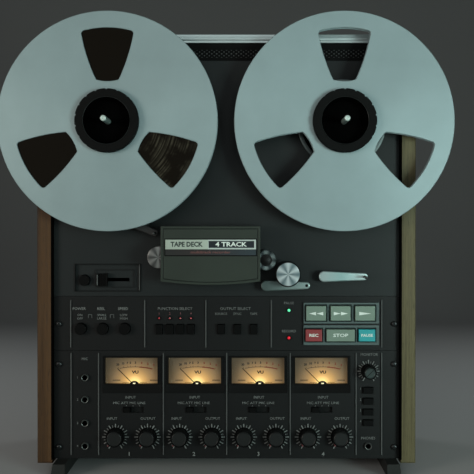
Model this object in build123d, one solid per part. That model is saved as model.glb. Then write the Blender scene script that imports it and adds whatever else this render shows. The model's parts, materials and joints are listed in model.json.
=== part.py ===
from build123d import *
import math
import os

# Reel to reel tape deck. Millimetres, +Z up, front towards -Y.
# Origin: on the surface the deck stands on, under the middle of its box.
# Depths are given as "ahead": the distance in front of the panels' front face.

# ---- Cabinet -------------------------------------------------------------
PANEL_Y = -65.0            # front face of the three front panels
REAR_REACH = 200.0         # panel face to the rear bumpers
PANEL_HALF = 215.8         # half the width between the wooden sides
WOOD_T = 18.8
WOOD_AHEAD = 8.0
WOOD_BOTTOM = 12.0
WOOD_TOP = 540.5
PANEL_BOTTOM = 16.0
METER_TOP = 150.6          # joint between meter panel and control panel
CONTROL_TOP = 219.0        # joint between control panel and deck plate
DECK_TOP = 512.0
CABINET_TOP = 544.0
SEAM = 0.4
PANEL_T = 3.0
DECK_T = 4.0
SHEET_T = 2.0
REAR_COVER = -REAR_REACH + 6.0   # outer face of the rear cover
VENT_X = (-140.0, -60.0, 60.0, 140.0)
VENT_Z, VENT_PITCH, VENT_ROWS = 300.0, 12.0, 14
VENT_W, VENT_H = 60.0, 4.0

# ---- Feet ------------------------------------------------------------------
FOOT_X = 204.0
FOOT_WIDTH = 15.0
FOOT_SPLAY = 2.5
FOOT_AHEAD = 30.0
FOOT_REAR = -190.0
BUMPER_R = 9.0

# ---- Reels -----------------------------------------------------------------
REEL_X = 143.35
REEL_Z = 433.5
REEL_R = 133.35            # 10.5 inch reel
HUB_BORE_R = 38.1          # 3 inch hub bore
HUB_R = 48.0
REEL_BACK = 25.0
REEL_FRONT = 35.0
FLANGE_T = 1.2
HUB_WALL = 2.8
WINDOW_ANGLES = (90, 210, 330)
WINDOW_OUTER_R = 113.0
WINDOW_INNER_R = 48.2
WINDOW_TOP_HALF = 32.0
WINDOW_FOOT_HALF = 13.6
WINDOW_FOOT_RISE = 2.0
WINDOW_BOW = 2.2
WINDOW_TOP_FILLET = 4.0
WINDOW_FOOT_FILLET = 1.8
FLANGE_EDGE = 0.6          # chamfer round the front flange and its windows
REEL_TRIM_R = 55.0         # trim ring on the deck behind each reel
REEL_TRIM_BORE_R = 50.4
REEL_TRIM_AHEAD = 2.0
PACK_R = 124.0
TAPE_WIDTH = 6.35

# ---- Spindles and hub adaptors ---------------------------------------------
SPINDLE_R = 3.5
SPINDLE_TIP = 70.0
SPINDLE_TAIL = -78.0
SPINDLE_SHOULDER, SPINDLE_STEM_R = 30.0, 3.3
TURNTABLE_R = 46.0
TURNTABLE_BACK = 10.0
ADAPTOR_R = 37.9
ADAPTOR_CAP_R = 38.5
ADAPTOR_FRONT = 43.8
ADAPTOR_RECESS_R = 27.9
ADAPTOR_FLOOR = 27.0
NOTCHES = 18
NOTCH_R = 1.6
NOTCH_DEPTH = 1.1

# ---- Tape path ---------------------------------------------------------------
CAPSTAN = (48.4, 265.0)
CAPSTAN_R = 12.3
CAPSTAN_FRONT = 32.0
CAPSTAN_SHAFT_R = 4.0
FLYWHEEL_R = 44.0
FLYWHEEL = (-40.0, -22.0)
GUIDE = (-82.0, 268.6)
GUIDE_R = 13.3
GUIDE_FRONT = 34.0
PINCH_PIVOT = (49.4, 232.7)
PINCH_TIP = (98.9, 233.0)
PINCH_ROLLER = (75.3, 248.0)
ROLLER_R = 15.4
ROLLER_CAP_R = 14.1
ROLLER_FRONT = 34.0
SUPPLY_PIVOT = (-133.1, 317.8)
SUPPLY_TIP = (-87.9, 297.7)
TAKEUP_PIVOT = (120.6, 244.1)
TAKEUP_TIP = (169.9, 243.9)
ARM_WIDE_R = 6.8
ARM_NARROW_R = 4.4
ARM_T = 6.0
ARM_BACK = 8.0
ARM_SHAFT_R = 3.0
TAPE_POST_R = 1.8
TAPE_POST_FRONT = 34.0
RUN_GAP = 0.05             # radial clearance of a shaft in its bearing
CLEAR_GAP = 0.5            # radial clearance of a shaft in a panel hole

# ---- Head cover and heads ------------------------------------------------------
COVER_LEFT, COVER_RIGHT = -78.8, 41.6
COVER_TOP = 306.3
COVER_CORNER = 239.7       # height of the two bottom corners
COVER_BELLY = 235.4        # lowest point of the curved bottom edge
COVER_FRONT = 38.0
COVER_WALL = 2.2
SLOT_BOTTOM, SLOT_TOP = 246.0, 291.0
HEAD_FACE = 281.0          # tape-side face of the heads
HEADS = ((-52.0, 15.0), (-19.0, 20.0), (14.0, 20.0))   # x, width: erase, record, play

# ---- Cue panel on the deck plate -------------------------------------------------
CUE_X = (-189.3, -107.2)
CUE_Z = (224.6, 259.2)
CUE_DEPTH = 2.5
CUE_BUTTON = (-177.2, 238.6, 6.8)
CUE_SLOT_X = (-160.5, -121.4)
CUE_SLOT_Z = 239.3
CUE_SLOT_H = 4.4
CUE_KNOB = (-154.4, 12.6, 15.6)     # x at rest, width, height

# ---- Push buttons and keys: name, x, z, width, height, proud ------------------------
ROUND_NAMES = ("power_button", "reel_size_button", "speed_button")
ROUND_X, ROUND_PITCH, ROUND_Z, ROUND_R, ROUND_PROUD = -181.4, 27.3, 178.4, 7.1, 8.0
FUNCTION_X, FUNCTION_PITCH = -83.9, 13.2
OUTPUT_X, OUTPUT_PITCH = -6.8, 20.3
SELECT_Z, SELECT_W, SELECT_H, SELECT_PROUD = 177.7, 8.6, 12.2, 5.0
KEY_PROUD = 8.0
UPPER_KEYS = (("rewind_key", 111.3), ("fast_forward_key", 141.7), ("play_key", 172.1))
UPPER_KEY_Z, UPPER_KEY_W, UPPER_KEY_H = 198.0, 24.6, 18.1
LOWER_KEYS = (("record_key", 108.4, 20.3), ("stop_key", 141.7, 34.9), ("pause_key", 174.4, 20.3))
LOWER_KEY_Z, LOWER_KEY_H = 170.6, 14.8
MONITOR_X, MONITOR_Z, MONITOR_PITCH = 176.6, 101.4, -13.55
MONITOR_W, MONITOR_H, MONITOR_PROUD = 12.8, 7.8, 4.0
BUTTON_GAP = 0.4
BUTTON_TAIL = -8.5
COLLAR = (-5.5, -3.7)      # back and front of the collar behind the panel
COLLAR_LIP = 1.0
EDGE = 0.6

# ---- Knobs ---------------------------------------------------------------------------
KNOB_X, KNOB_PITCH, KNOB_Z = -138.5, 40.0, 43.8
KNOB_R, KNOB_FRONT = 10.6, 17.0
KNOB_SKIRT_R, KNOB_SKIRT_T = 11.4, 2.5
MONITOR_KNOB = (176.9, 125.4)
MONITOR_KNOB_R, MONITOR_KNOB_FRONT = 8.2, 20.0
KNOB_GAP = 0.8             # knob's back to the panel
KNOB_FLUTES = 24
POT_SHAFT_R = 3.0
POT_R = 8.5
POT_DEPTH = 14.0

# ---- Meters ----------------------------------------------------------------------------
CHANNELS = 4
METER_X, METER_PITCH = -117.75, 78.5
METER_HALF = 36.8
METER_LOW, METER_SILL, METER_HIGH = 97.8, 108.8, 144.3
METER_RECESS = 2.8
LENS_T = 1.2
CASE_LIP = 2.0
CASE_BACK = -34.0
DIAL_DEPTH = 9.0
NEEDLE_SHIFT = 2.2         # needle's pivot to the right of the meter's middle
NEEDLE_Z = 106.0
NEEDLE_LENGTH = 30.5
NEEDLE_REST = 135.0        # degrees anticlockwise from +X
NEEDLE_W = 0.8
NEEDLE = (-6.4, -5.6)
NEEDLE_HUB_R = 3.0
NEEDLE_HUB = (-7.4, -4.6)

# ---- Input switches ------------------------------------------------------------------------
SWITCH_Z, SWITCH_SLOT_W, SWITCH_SLOT_H = 76.9, 26.0, 7.5
SWITCH_KNOB_W, SWITCH_KNOB_H = 8.0, 6.6
SWITCH_REST = -8.2         # knob centre from the slot's centre
SWITCH_FRONT = 3.0
SWITCH_BASE = (-6.0, -3.6)

# ---- Sockets -----------------------------------------------------------------------------------
MIC_X = -176.4
MIC_Z = (117.4, 90.0, 60.6, 32.0)
PHONES = (176.6, 31.8)
JACK_BORE_R, JACK_RING_R, JACK_BARREL_R = 3.2, 4.4, 7.0
JACK_FRONT, JACK_DEPTH, JACK_BORE_DEPTH = 2.5, 30.0, 28.0
PHONO_X = (-120.0, -96.0, -72.0, -48.0)
PHONO_Z = (60.0, 90.0)
PHONO_R, PHONO_TAIL_R, PHONO_PIN_R = 4.1, 3.9, 1.6
PHONO_LENGTH, PHONO_TAIL, PHONO_BORE = 5.5, 12.0, 11.5
INLET = (150.0, 60.0)
INLET_W, INLET_H, INLET_DEPTH, INLET_WALL = 26.0, 18.0, 14.0, 3.0

# ---- Screws ---------------------------------------------------------------------------------------
SCREW_X = 209.0
SCREW_Z = (30.5, 134.0, 184.2)
SCREW_R, SCREW_HEAD_T = 3.2, 1.6


def plane_at(ahead):
    """Upright plane facing the front; its own x and y are the deck's X and Z."""
    return Plane(origin=(0, PANEL_Y - ahead, 0), x_dir=(1, 0, 0), z_dir=(0, -1, 0))


def raised(outline, back, front):
    """Solid of an X-Z outline between two distances ahead of the panel face."""
    return extrude(plane_at(back) * outline, amount=front - back)


def disc(x, z, radius, back, front):
    return raised(Pos(x, z) * Circle(radius), back, front)


def tube(x, z, outer, inner, back, front):
    return raised(Pos(x, z) * (Circle(outer) - Circle(inner)), back, front)


def rectangle(x_range, z_range):
    width, height = x_range[1] - x_range[0], z_range[1] - z_range[0]
    return Pos(sum(x_range) / 2, sum(z_range) / 2) * Rectangle(width, height)


def block(x_range, z_range, back, front):
    return raised(rectangle(x_range, z_range), back, front)


def spots(start, pitch, count):
    return [start + pitch * i for i in range(count)]


def around(count):
    """Evenly spaced angles round a full turn."""
    return [360 / count * (i + 0.5) for i in range(count)]


def front_edges(solid):
    return solid.faces().sort_by(Axis.Y)[0].edges()


def link_outline(start, end, start_r, end_r):
    """Outline of a flat link: two round ends and the tangents between them."""
    ends = (Pos(*start) * Circle(start_r)).edges() + (Pos(*end) * Circle(end_r)).edges()
    return make_hull(ends)


# ---- Reels -------------------------------------------------------------------------

def window_outline(angle):
    """One window of a reel flange, wide outside, narrow at the hub, bowed sides."""
    top_y = math.sqrt(WINDOW_OUTER_R ** 2 - WINDOW_TOP_HALF ** 2)
    foot_y = WINDOW_INNER_R + WINDOW_FOOT_RISE
    side_x = (WINDOW_TOP_HALF + WINDOW_FOOT_HALF) / 2 + WINDOW_BOW
    side_y = (top_y + foot_y) / 2
    top_left, top_right = (-WINDOW_TOP_HALF, top_y), (WINDOW_TOP_HALF, top_y)
    foot_left, foot_right = (-WINDOW_FOOT_HALF, foot_y), (WINDOW_FOOT_HALF, foot_y)
    sides = [
        ThreePointArc(top_left, (0, WINDOW_OUTER_R), top_right),
        ThreePointArc(top_right, (side_x, side_y), foot_right),
        ThreePointArc(foot_right, (0, WINDOW_INNER_R), foot_left),
        ThreePointArc(foot_left, (-side_x, side_y), top_left),
    ]
    window = make_face(sides)
    window = fillet(window.vertices().sort_by(Axis.Y)[:2], WINDOW_FOOT_FILLET)
    window = fillet(window.vertices().sort_by(Axis.Y)[-2:], WINDOW_TOP_FILLET)
    return Rot(0, 0, angle - 90) * window


def flange(x, back):
    cut_outs = [Circle(HUB_BORE_R)] + [window_outline(angle) for angle in WINDOW_ANGLES]
    outline = Circle(REEL_R) - cut_outs
    return raised(Pos(x, REEL_Z) * outline, back, back + FLANGE_T)


def reel_hub(x):
    """Outer wall, inner sleeve and a web that joins them."""
    back, front = REEL_BACK + FLANGE_T, REEL_FRONT - FLANGE_T
    middle = (back + front) / 2
    wall = tube(x, REEL_Z, HUB_R, HUB_R - HUB_WALL, back, front)
    sleeve = tube(x, REEL_Z, HUB_BORE_R + HUB_WALL, HUB_BORE_R, back, front)
    web = tube(x, REEL_Z, HUB_R - 1, HUB_BORE_R + 1, middle - 1, middle + 1)
    return wall + sleeve + web


def reel(x):
    front_flange = flange(x, REEL_FRONT - FLANGE_T)
    front_flange = chamfer(front_edges(front_flange), FLANGE_EDGE)
    return [flange(x, REEL_BACK), reel_hub(x), front_flange]


def tape_pack():
    middle = (REEL_BACK + REEL_FRONT) / 2
    back, front = middle - TAPE_WIDTH / 2, middle + TAPE_WIDTH / 2
    return [tube(-REEL_X, REEL_Z, PACK_R, HUB_R + RUN_GAP, back, front)]


def hub_adaptor(x):
    """Plug through the reel's bore, with a wider notched cap that holds the reel on."""
    plug = disc(x, REEL_Z, ADAPTOR_R, REEL_BACK + RUN_GAP, REEL_FRONT + RUN_GAP)
    notch = Pos(ADAPTOR_CAP_R + NOTCH_R - NOTCH_DEPTH, 0) * Circle(NOTCH_R)
    rim = Circle(ADAPTOR_CAP_R) - [Rot(0, 0, angle) * notch for angle in around(NOTCHES)]
    cap = raised(Pos(x, REEL_Z) * rim, REEL_FRONT + RUN_GAP, ADAPTOR_FRONT)
    recess = disc(x, REEL_Z, ADAPTOR_RECESS_R, ADAPTOR_FLOOR, ADAPTOR_FRONT)
    bore = disc(x, REEL_Z, SPINDLE_R + RUN_GAP, REEL_BACK, ADAPTOR_FRONT)
    return plug + cap - recess - bore


def spindle(x):
    """Motor shaft with its turntable and hub adaptor; its free end is a little thicker."""
    post = disc(x, REEL_Z, SPINDLE_R, SPINDLE_SHOULDER, SPINDLE_TIP)
    shaft = fillet(front_edges(post), 1.5) + disc(x, REEL_Z, SPINDLE_STEM_R, SPINDLE_TAIL,
                                                  SPINDLE_SHOULDER)
    table = tube(x, REEL_Z, TURNTABLE_R, SPINDLE_R + RUN_GAP, TURNTABLE_BACK, REEL_BACK)
    return [shaft, table, hub_adaptor(x)]


# ---- Tape path -----------------------------------------------------------------------

def capstan():
    drum = disc(*CAPSTAN, CAPSTAN_R, 2, CAPSTAN_FRONT)
    drum = fillet(front_edges(drum), 1.5)
    shaft = disc(*CAPSTAN, CAPSTAN_SHAFT_R, FLYWHEEL[0] - 14, 2)
    flywheel = disc(*CAPSTAN, FLYWHEEL_R, *FLYWHEEL)
    return [drum + shaft + flywheel]


def guide_roller():
    roller = disc(*GUIDE, GUIDE_R, 4, GUIDE_FRONT)
    roller = fillet(front_edges(roller), 1.5)
    return [roller - disc(*GUIDE, 2.5 + RUN_GAP, 4, 30 + CLEAR_GAP)]


def pinch_arm():
    """Lever with its pivot shaft behind and the roller's axle in front."""
    back, front = ARM_BACK, ARM_BACK + ARM_T
    plate = raised(link_outline(PINCH_PIVOT, PINCH_TIP, ARM_WIDE_R, ARM_NARROW_R), back, front)
    middle = (PINCH_PIVOT[0] + 22, PINCH_PIVOT[1] + 1)
    plate += raised(link_outline(middle, PINCH_ROLLER, ARM_NARROW_R, ARM_NARROW_R), back, front)
    plate -= disc(*PINCH_TIP, 2.2, back, front)
    axle = disc(*PINCH_ROLLER, 2.5, front, ROLLER_FRONT - 5)
    shaft = disc(*PINCH_PIVOT, ARM_SHAFT_R, -20, back)
    return [plate + axle + shaft]


def pinch_roller():
    """Rubber tyre and the metal cap that closes it, on one sleeve."""
    back = ARM_BACK + ARM_T + CLEAR_GAP
    tyre = disc(*PINCH_ROLLER, ROLLER_R, back, ROLLER_FRONT - 1)
    cap = disc(*PINCH_ROLLER, ROLLER_CAP_R, ROLLER_FRONT - 1, ROLLER_FRONT)
    bore = disc(*PINCH_ROLLER, 2.5 + RUN_GAP, back, ROLLER_FRONT - 5 + CLEAR_GAP)
    return [tyre + cap - bore]


def tension_arm(pivot, tip):
    """Lever with its shaft behind and a tape post in front of its tip."""
    front = ARM_BACK + ARM_T
    plate = raised(link_outline(pivot, tip, ARM_WIDE_R, ARM_NARROW_R), ARM_BACK, front)
    post = disc(*tip, TAPE_POST_R, front, TAPE_POST_FRONT)
    shaft = disc(*pivot, ARM_SHAFT_R, -20, ARM_BACK)
    return [plate + post + shaft]


def cover_outline(inset):
    """Head cover outline: straight top and sides, bottom edge bowed downwards."""
    left, right = COVER_LEFT + inset, COVER_RIGHT - inset
    top, corner = COVER_TOP - inset, COVER_CORNER + inset
    edges = [
        Polyline((left, corner), (left, top), (right, top), (right, corner)),
        ThreePointArc((right, corner), ((left + right) / 2, COVER_BELLY + inset), (left, corner)),
    ]
    return make_face(edges)


def head_cover():
    """Open-backed cover with a slot in each side for the tape and the rollers."""
    outer = raised(cover_outline(0), 1, COVER_FRONT)
    outer = fillet(front_edges(outer), 1.5)
    inner = raised(cover_outline(COVER_WALL), 1, COVER_FRONT - COVER_WALL)
    slots = block((COVER_LEFT - 1, COVER_RIGHT + 1), (SLOT_BOTTOM, SLOT_TOP), 1,
                  COVER_FRONT - COVER_WALL)
    return [outer - inner - slots]


def head_assembly():
    """Head plate, the three heads on their brackets, tape guides and the roller's axle."""
    plate = block((-66, 28), (248, 296), 0, 3)
    solids = [plate]
    for x, width in HEADS:
        bracket = block((x - width / 2 + 1, x + width / 2 - 1), (254, 262), 3, 30)
        head = block((x - width / 2, x + width / 2), (262, HEAD_FACE), 20, 34)
        solids += [bracket, fillet(head.edges().filter_by(Axis.Y).group_by(Axis.Z)[-1], 4)]
    for x in (-36.0, -2.5):
        solids.append(disc(x, HEAD_FACE - 4, 2.2, 3, 34))
    for x in (-62.0, 24.0):
        solids.append(disc(x, 293.0, 2.5, 3, COVER_FRONT - COVER_WALL - 0.3))
    solids.append(disc(*GUIDE, 2.5, 0, 30))
    return solids


# ---- Buttons, keys, knobs and switches --------------------------------------------------

def rect_buttons():
    """Name, x, z, width, height and reach of every rectangular button and key."""
    rows = []
    for i, x in enumerate(spots(FUNCTION_X, FUNCTION_PITCH, 4)):
        rows.append((f"function_button_{i + 1}", x, SELECT_Z, SELECT_W, SELECT_H, SELECT_PROUD))
    for i, x in enumerate(spots(OUTPUT_X, OUTPUT_PITCH, 3)):
        rows.append((f"output_button_{i + 1}", x, SELECT_Z, SELECT_W, SELECT_H, SELECT_PROUD))
    for name, x in UPPER_KEYS:
        rows.append((name, x, UPPER_KEY_Z, UPPER_KEY_W, UPPER_KEY_H, KEY_PROUD))
    for name, x, width in LOWER_KEYS:
        rows.append((name, x, LOWER_KEY_Z, width, LOWER_KEY_H, KEY_PROUD))
    for i, z in enumerate(spots(MONITOR_Z, MONITOR_PITCH, 4)):
        rows.append((f"monitor_button_{i + 1}", MONITOR_X, z, MONITOR_W, MONITOR_H,
                     MONITOR_PROUD))
    return rows


def round_buttons():
    xs = spots(ROUND_X, ROUND_PITCH, 3)
    return [(name, x, ROUND_Z, ROUND_R, ROUND_PROUD) for name, x in zip(ROUND_NAMES, xs)]


def rect_button(x, z, width, height, proud):
    cap = raised(Pos(x, z) * Rectangle(width, height), BUTTON_TAIL, proud)
    cap = fillet(front_edges(cap), EDGE)
    lip = 2 * (BUTTON_GAP + COLLAR_LIP)
    return cap + raised(Pos(x, z) * Rectangle(width + lip, height + lip), *COLLAR)


def round_button(x, z, radius, proud):
    cap = disc(x, z, radius, BUTTON_TAIL, proud)
    cap = fillet(front_edges(cap), EDGE)
    return cap + disc(x, z, radius + BUTTON_GAP + COLLAR_LIP, *COLLAR)


def cue_button():
    x, z, radius = CUE_BUTTON
    cap = fillet(front_edges(disc(x, z, radius, BUTTON_TAIL, 4)), EDGE)
    return [cap + disc(x, z, radius + 1.4, -6.5, -4.7)]


def cue_slider():
    """Ridged knob on a blade that runs in the slot of the cue panel."""
    x, width, height = CUE_KNOB
    knob = block((x - width / 2, x + width / 2), (CUE_SLOT_Z - height / 2, CUE_SLOT_Z + height / 2),
                 -CUE_DEPTH + 0.5, 6)
    for ridge in (-3.6, -1.2, 1.2, 3.6):
        knob -= block((x + ridge - 0.5, x + ridge + 0.5), (CUE_SLOT_Z - height, CUE_SLOT_Z + height),
                      5, 7)
    blade = block((x - 4, x + 4), (CUE_SLOT_Z - 1.6, CUE_SLOT_Z + 1.6), -10, -CUE_DEPTH + 0.5)
    return [knob + blade]


def knob(x, z, radius, front, skirt_r):
    """Fluted knob on its own shaft, with a skirt next to the panel."""
    flute = Pos(radius + 0.6, 0) * Circle(1.0)
    outline = Circle(radius) - [Rot(0, 0, angle) * flute for angle in around(KNOB_FLUTES)]
    body = raised(Pos(x, z) * outline, KNOB_GAP, front - 1)
    body += disc(x, z, radius - 0.7, front - 1, front)
    body += disc(x, z, skirt_r, KNOB_GAP, KNOB_GAP + KNOB_SKIRT_T)
    return [body + disc(x, z, POT_SHAFT_R, -12, KNOB_GAP)]


def knob_places():
    xs = spots(KNOB_X, KNOB_PITCH, 2 * CHANNELS)
    places = []
    for i in range(CHANNELS):
        places.append((f"input_knob_{i + 1}", xs[2 * i]))
        places.append((f"output_knob_{i + 1}", xs[2 * i + 1]))
    return places


def switch_places():
    return [x + 1.2 for x in spots(METER_X, METER_PITCH, CHANNELS)]


def input_switch(slot_x):
    x = slot_x + SWITCH_REST
    half_w, half_h = SWITCH_KNOB_W / 2, SWITCH_KNOB_H / 2
    lever = block((x - half_w, x + half_w), (SWITCH_Z - half_h, SWITCH_Z + half_h),
                  SWITCH_BASE[1], SWITCH_FRONT)
    base = block((x - half_w - 1.5, x + half_w + 1.5), (SWITCH_Z - 5, SWITCH_Z + 5), *SWITCH_BASE)
    return [lever + base]


# ---- Meters ----------------------------------------------------------------------------------

def vu_needle(x):
    hub = disc(x, NEEDLE_Z, NEEDLE_HUB_R, *NEEDLE_HUB)
    pointer = Pos(NEEDLE_LENGTH / 2, 0) * Rectangle(NEEDLE_LENGTH, NEEDLE_W)
    outline = Pos(x, NEEDLE_Z) * Rot(0, 0, NEEDLE_REST) * pointer
    return [hub + raised(outline, *NEEDLE)]


def vu_meter(x):
    """Meter case with the dial's hollow, the lens over it and the sloped sill below."""
    inside = (x - METER_HALF, x + METER_HALF)
    outside = (inside[0] - CASE_LIP, inside[1] + CASE_LIP)
    case = block(outside, (METER_LOW - CASE_LIP, METER_HIGH + CASE_LIP), CASE_BACK, -PANEL_T)
    case -= block(inside, (NEEDLE_Z - 5, METER_HIGH), -DIAL_DEPTH, -PANEL_T)
    lens = block((inside[0] + 0.2, inside[1] - 0.2), (METER_SILL, METER_HIGH - 0.2),
                 -METER_RECESS, -METER_RECESS + LENS_T)
    sill_profile = Plane.YZ.offset(inside[0] + 0.2) * make_face(Polyline(
        (PANEL_Y + METER_RECESS, METER_LOW + 0.2), (PANEL_Y, METER_LOW + 0.2),
        (PANEL_Y + METER_RECESS - LENS_T, METER_SILL), (PANEL_Y + METER_RECESS, METER_SILL),
        close=True))
    sill = extrude(sill_profile, amount=2 * METER_HALF - 0.4)
    return [case, lens, sill]


# ---- Panels -------------------------------------------------------------------------------------

def deck_plate():
    """Upper front plate, pierced for every shaft, with the shallow tray of the cue controls."""
    outline = rectangle((-PANEL_HALF, PANEL_HALF), (CONTROL_TOP, DECK_TOP))
    holes = [(-REEL_X, REEL_Z, SPINDLE_R), (REEL_X, REEL_Z, SPINDLE_R),
             (*CAPSTAN, CAPSTAN_SHAFT_R), (*PINCH_PIVOT, ARM_SHAFT_R),
             (*SUPPLY_PIVOT, ARM_SHAFT_R), (*TAKEUP_PIVOT, ARM_SHAFT_R)]
    outline -= [Pos(x, z) * Circle(radius + CLEAR_GAP) for x, z, radius in holes]
    plate = raised(outline, -DECK_T, 0)
    for x in (-REEL_X, REEL_X):
        plate += tube(x, REEL_Z, REEL_TRIM_R, REEL_TRIM_BORE_R, -1, REEL_TRIM_AHEAD)
    plate -= block(CUE_X, CUE_Z, -CUE_DEPTH, 0)
    x, z, radius = CUE_BUTTON
    plate -= disc(x, z, radius + BUTTON_GAP, -DECK_T, 0)
    slot_z = (CUE_SLOT_Z - CUE_SLOT_H / 2, CUE_SLOT_Z + CUE_SLOT_H / 2)
    plate -= block(CUE_SLOT_X, slot_z, -DECK_T, 0)
    return [plate]


def panel_blank(low, high, panel_holes):
    """Flat panel between two heights, with the outlines of its holes taken out."""
    screw_holes = [Pos(side * SCREW_X, z) * Circle(SCREW_R / 2 + 0.1)
                   for side in (-1, 1) for z in SCREW_Z if low < z < high]
    outline = rectangle((-PANEL_HALF, PANEL_HALF), (low, high)) - (panel_holes + screw_holes)
    return raised(outline, -PANEL_T, 0)


def control_panel():
    holes = []
    for name, x, z, width, height, proud in rect_buttons():
        if z > METER_TOP:
            gap = 2 * BUTTON_GAP
            holes.append(Pos(x, z) * Rectangle(width + gap, height + gap))
    for name, x, z, radius, proud in round_buttons():
        holes.append(Pos(x, z) * Circle(radius + BUTTON_GAP))
    return panel_blank(METER_TOP + SEAM, CONTROL_TOP - SEAM, holes)


def meter_panel():
    holes = []
    for x in spots(METER_X, METER_PITCH, CHANNELS):
        holes.append(rectangle((x - METER_HALF, x + METER_HALF), (METER_LOW, METER_HIGH)))
    for x in switch_places():
        holes.append(Pos(x, SWITCH_Z) * Rectangle(SWITCH_SLOT_W, SWITCH_SLOT_H))
    for name, x in knob_places():
        holes.append(Pos(x, KNOB_Z) * Circle(POT_SHAFT_R + CLEAR_GAP))
    holes.append(Pos(*MONITOR_KNOB) * Circle(POT_SHAFT_R + CLEAR_GAP))
    for name, x, z, width, height, proud in rect_buttons():
        if z < METER_TOP:
            gap = 2 * BUTTON_GAP
            holes.append(Pos(x, z) * Rectangle(width + gap, height + gap))
    for z in MIC_Z:
        holes.append(Pos(MIC_X, z) * Circle(JACK_RING_R))
    holes.append(Pos(*PHONES) * Circle(JACK_RING_R))
    return panel_blank(PANEL_BOTTOM, METER_TOP, holes)


def panel_screws():
    solids = []
    for side in (-1, 1):
        for z in SCREW_Z:
            head = disc(side * SCREW_X, z, SCREW_R, 0, SCREW_HEAD_T)
            solids.append(head + disc(side * SCREW_X, z, SCREW_R / 2, -8, 0))
    return solids


# ---- Cabinet ----------------------------------------------------------------------------------------

def cabinet_covers():
    """Header behind the grille, top cover, bottom pan and vented rear cover."""
    width = (-PANEL_HALF, PANEL_HALF)
    rear = REAR_COVER + SHEET_T
    header = block(width, (DECK_TOP + SEAM, CABINET_TOP - SHEET_T), -10, -3)
    top = block(width, (CABINET_TOP - SHEET_T, CABINET_TOP), rear, -3)
    bottom = block(width, (PANEL_BOTTOM, PANEL_BOTTOM + SHEET_T), rear, -PANEL_T)
    holes = [Pos(x, z) * RectangleRounded(VENT_W, VENT_H, VENT_H / 2 - 0.1)
             for x in VENT_X for z in spots(VENT_Z, VENT_PITCH, VENT_ROWS)]
    holes += [Pos(x, z) * Circle(PHONO_TAIL_R) for x in PHONO_X for z in PHONO_Z]
    holes.append(Pos(*INLET) * Rectangle(INLET_W + 2 * INLET_WALL, INLET_H + 2 * INLET_WALL))
    outline = rectangle(width, (PANEL_BOTTOM, CABINET_TOP)) - holes
    return [header, top, bottom, raised(outline, REAR_COVER, rear)]


def side_panel(side):
    """Wooden side with its long front edges rounded over."""
    inner, outer = side * PANEL_HALF, side * (PANEL_HALF + WOOD_T)
    board = block((min(inner, outer), max(inner, outer)), (WOOD_BOTTOM, WOOD_TOP), REAR_COVER,
                  WOOD_AHEAD)
    return fillet(front_edges(board), 1.5)


def foot(side):
    """Long skid, a little wider at the floor than at the cabinet."""
    half = FOOT_WIDTH / 2
    outline = Polyline((-half, 0), (half + FOOT_SPLAY, 0), (half, PANEL_BOTTOM),
                       (-half, PANEL_BOTTOM), close=True)
    face = make_face(outline)
    if side < 0:
        face = mirror(face, Plane.YZ)
    skid = raised(Pos(side * FOOT_X, 0) * face, FOOT_REAR, FOOT_AHEAD)
    return skid


def feet():
    """Two skids under the cabinet and four bumpers for laying it on its back."""
    solids = [foot(-1), foot(1)]
    for x in (-190, 190):
        for z in (40, 520):
            solids.append(disc(x, z, BUMPER_R, -REAR_REACH, REAR_COVER))
    return solids


# ---- Sockets and insides --------------------------------------------------------------------------------

def front_jack(x, z):
    ring = disc(x, z, JACK_RING_R, -PANEL_T, JACK_FRONT)
    barrel = disc(x, z, JACK_BARREL_R, -JACK_DEPTH, -PANEL_T)
    return ring + barrel - disc(x, z, JACK_BORE_R, JACK_FRONT - JACK_BORE_DEPTH, JACK_FRONT)


def phono_socket(x, z):
    """Barrel behind the rear cover, a thinner tail through it, and the bore for the plug's pin."""
    end = REAR_COVER - PHONO_LENGTH
    body = disc(x, z, PHONO_R, end, REAR_COVER) + disc(x, z, PHONO_TAIL_R, REAR_COVER,
                                                       REAR_COVER + PHONO_TAIL)
    return body - disc(x, z, PHONO_PIN_R, end, end + PHONO_BORE)


def power_inlet():
    """Rear mains inlet: a recess with two contact pins."""
    x, z = INLET
    outer = Pos(x, z) * Rectangle(INLET_W + 2 * INLET_WALL, INLET_H + 2 * INLET_WALL)
    front = REAR_COVER + INLET_DEPTH + INLET_WALL
    body = raised(outer, REAR_COVER - 2, front)
    body -= raised(Pos(x, z) * Rectangle(INLET_W, INLET_H), REAR_COVER - 2, REAR_COVER + INLET_DEPTH)
    for pin_x in (x - 6, x + 6):
        body += disc(pin_x, z - 4, 1.2, REAR_COVER + 2, REAR_COVER + INLET_DEPTH)
    return body


def connectors():
    solids = [front_jack(MIC_X, z) for z in MIC_Z] + [front_jack(*PHONES)]
    solids += [phono_socket(x, z) for z in PHONO_Z for x in PHONO_X]
    return solids + [power_inlet()]


def drive_belt(motor):
    """Flat belt round the capstan flywheel and the capstan motor's pulley."""
    gap, thickness = 0.4, 1.0
    inner = link_outline(CAPSTAN, motor, FLYWHEEL_R + gap, 10 + gap)
    outer = link_outline(CAPSTAN, motor, FLYWHEEL_R + gap + thickness, 10 + gap + thickness)
    return raised(outer - inner, FLYWHEEL[0] + 6, FLYWHEEL[1] - 6)


def reel_motor(x):
    body = disc(x, REEL_Z, 46, -86, -DECK_T)
    return body - disc(x, REEL_Z, SPINDLE_R + RUN_GAP, SPINDLE_TAIL - 1, -DECK_T)


def bearing(x, z, shaft_r, outer, back):
    return tube(x, z, outer, shaft_r + RUN_GAP, back, -DECK_T)


def potentiometer(x, z):
    body = disc(x, z, POT_R, -PANEL_T - POT_DEPTH, -PANEL_T)
    return body - disc(x, z, POT_SHAFT_R + RUN_GAP, -12.5, -PANEL_T)


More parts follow.
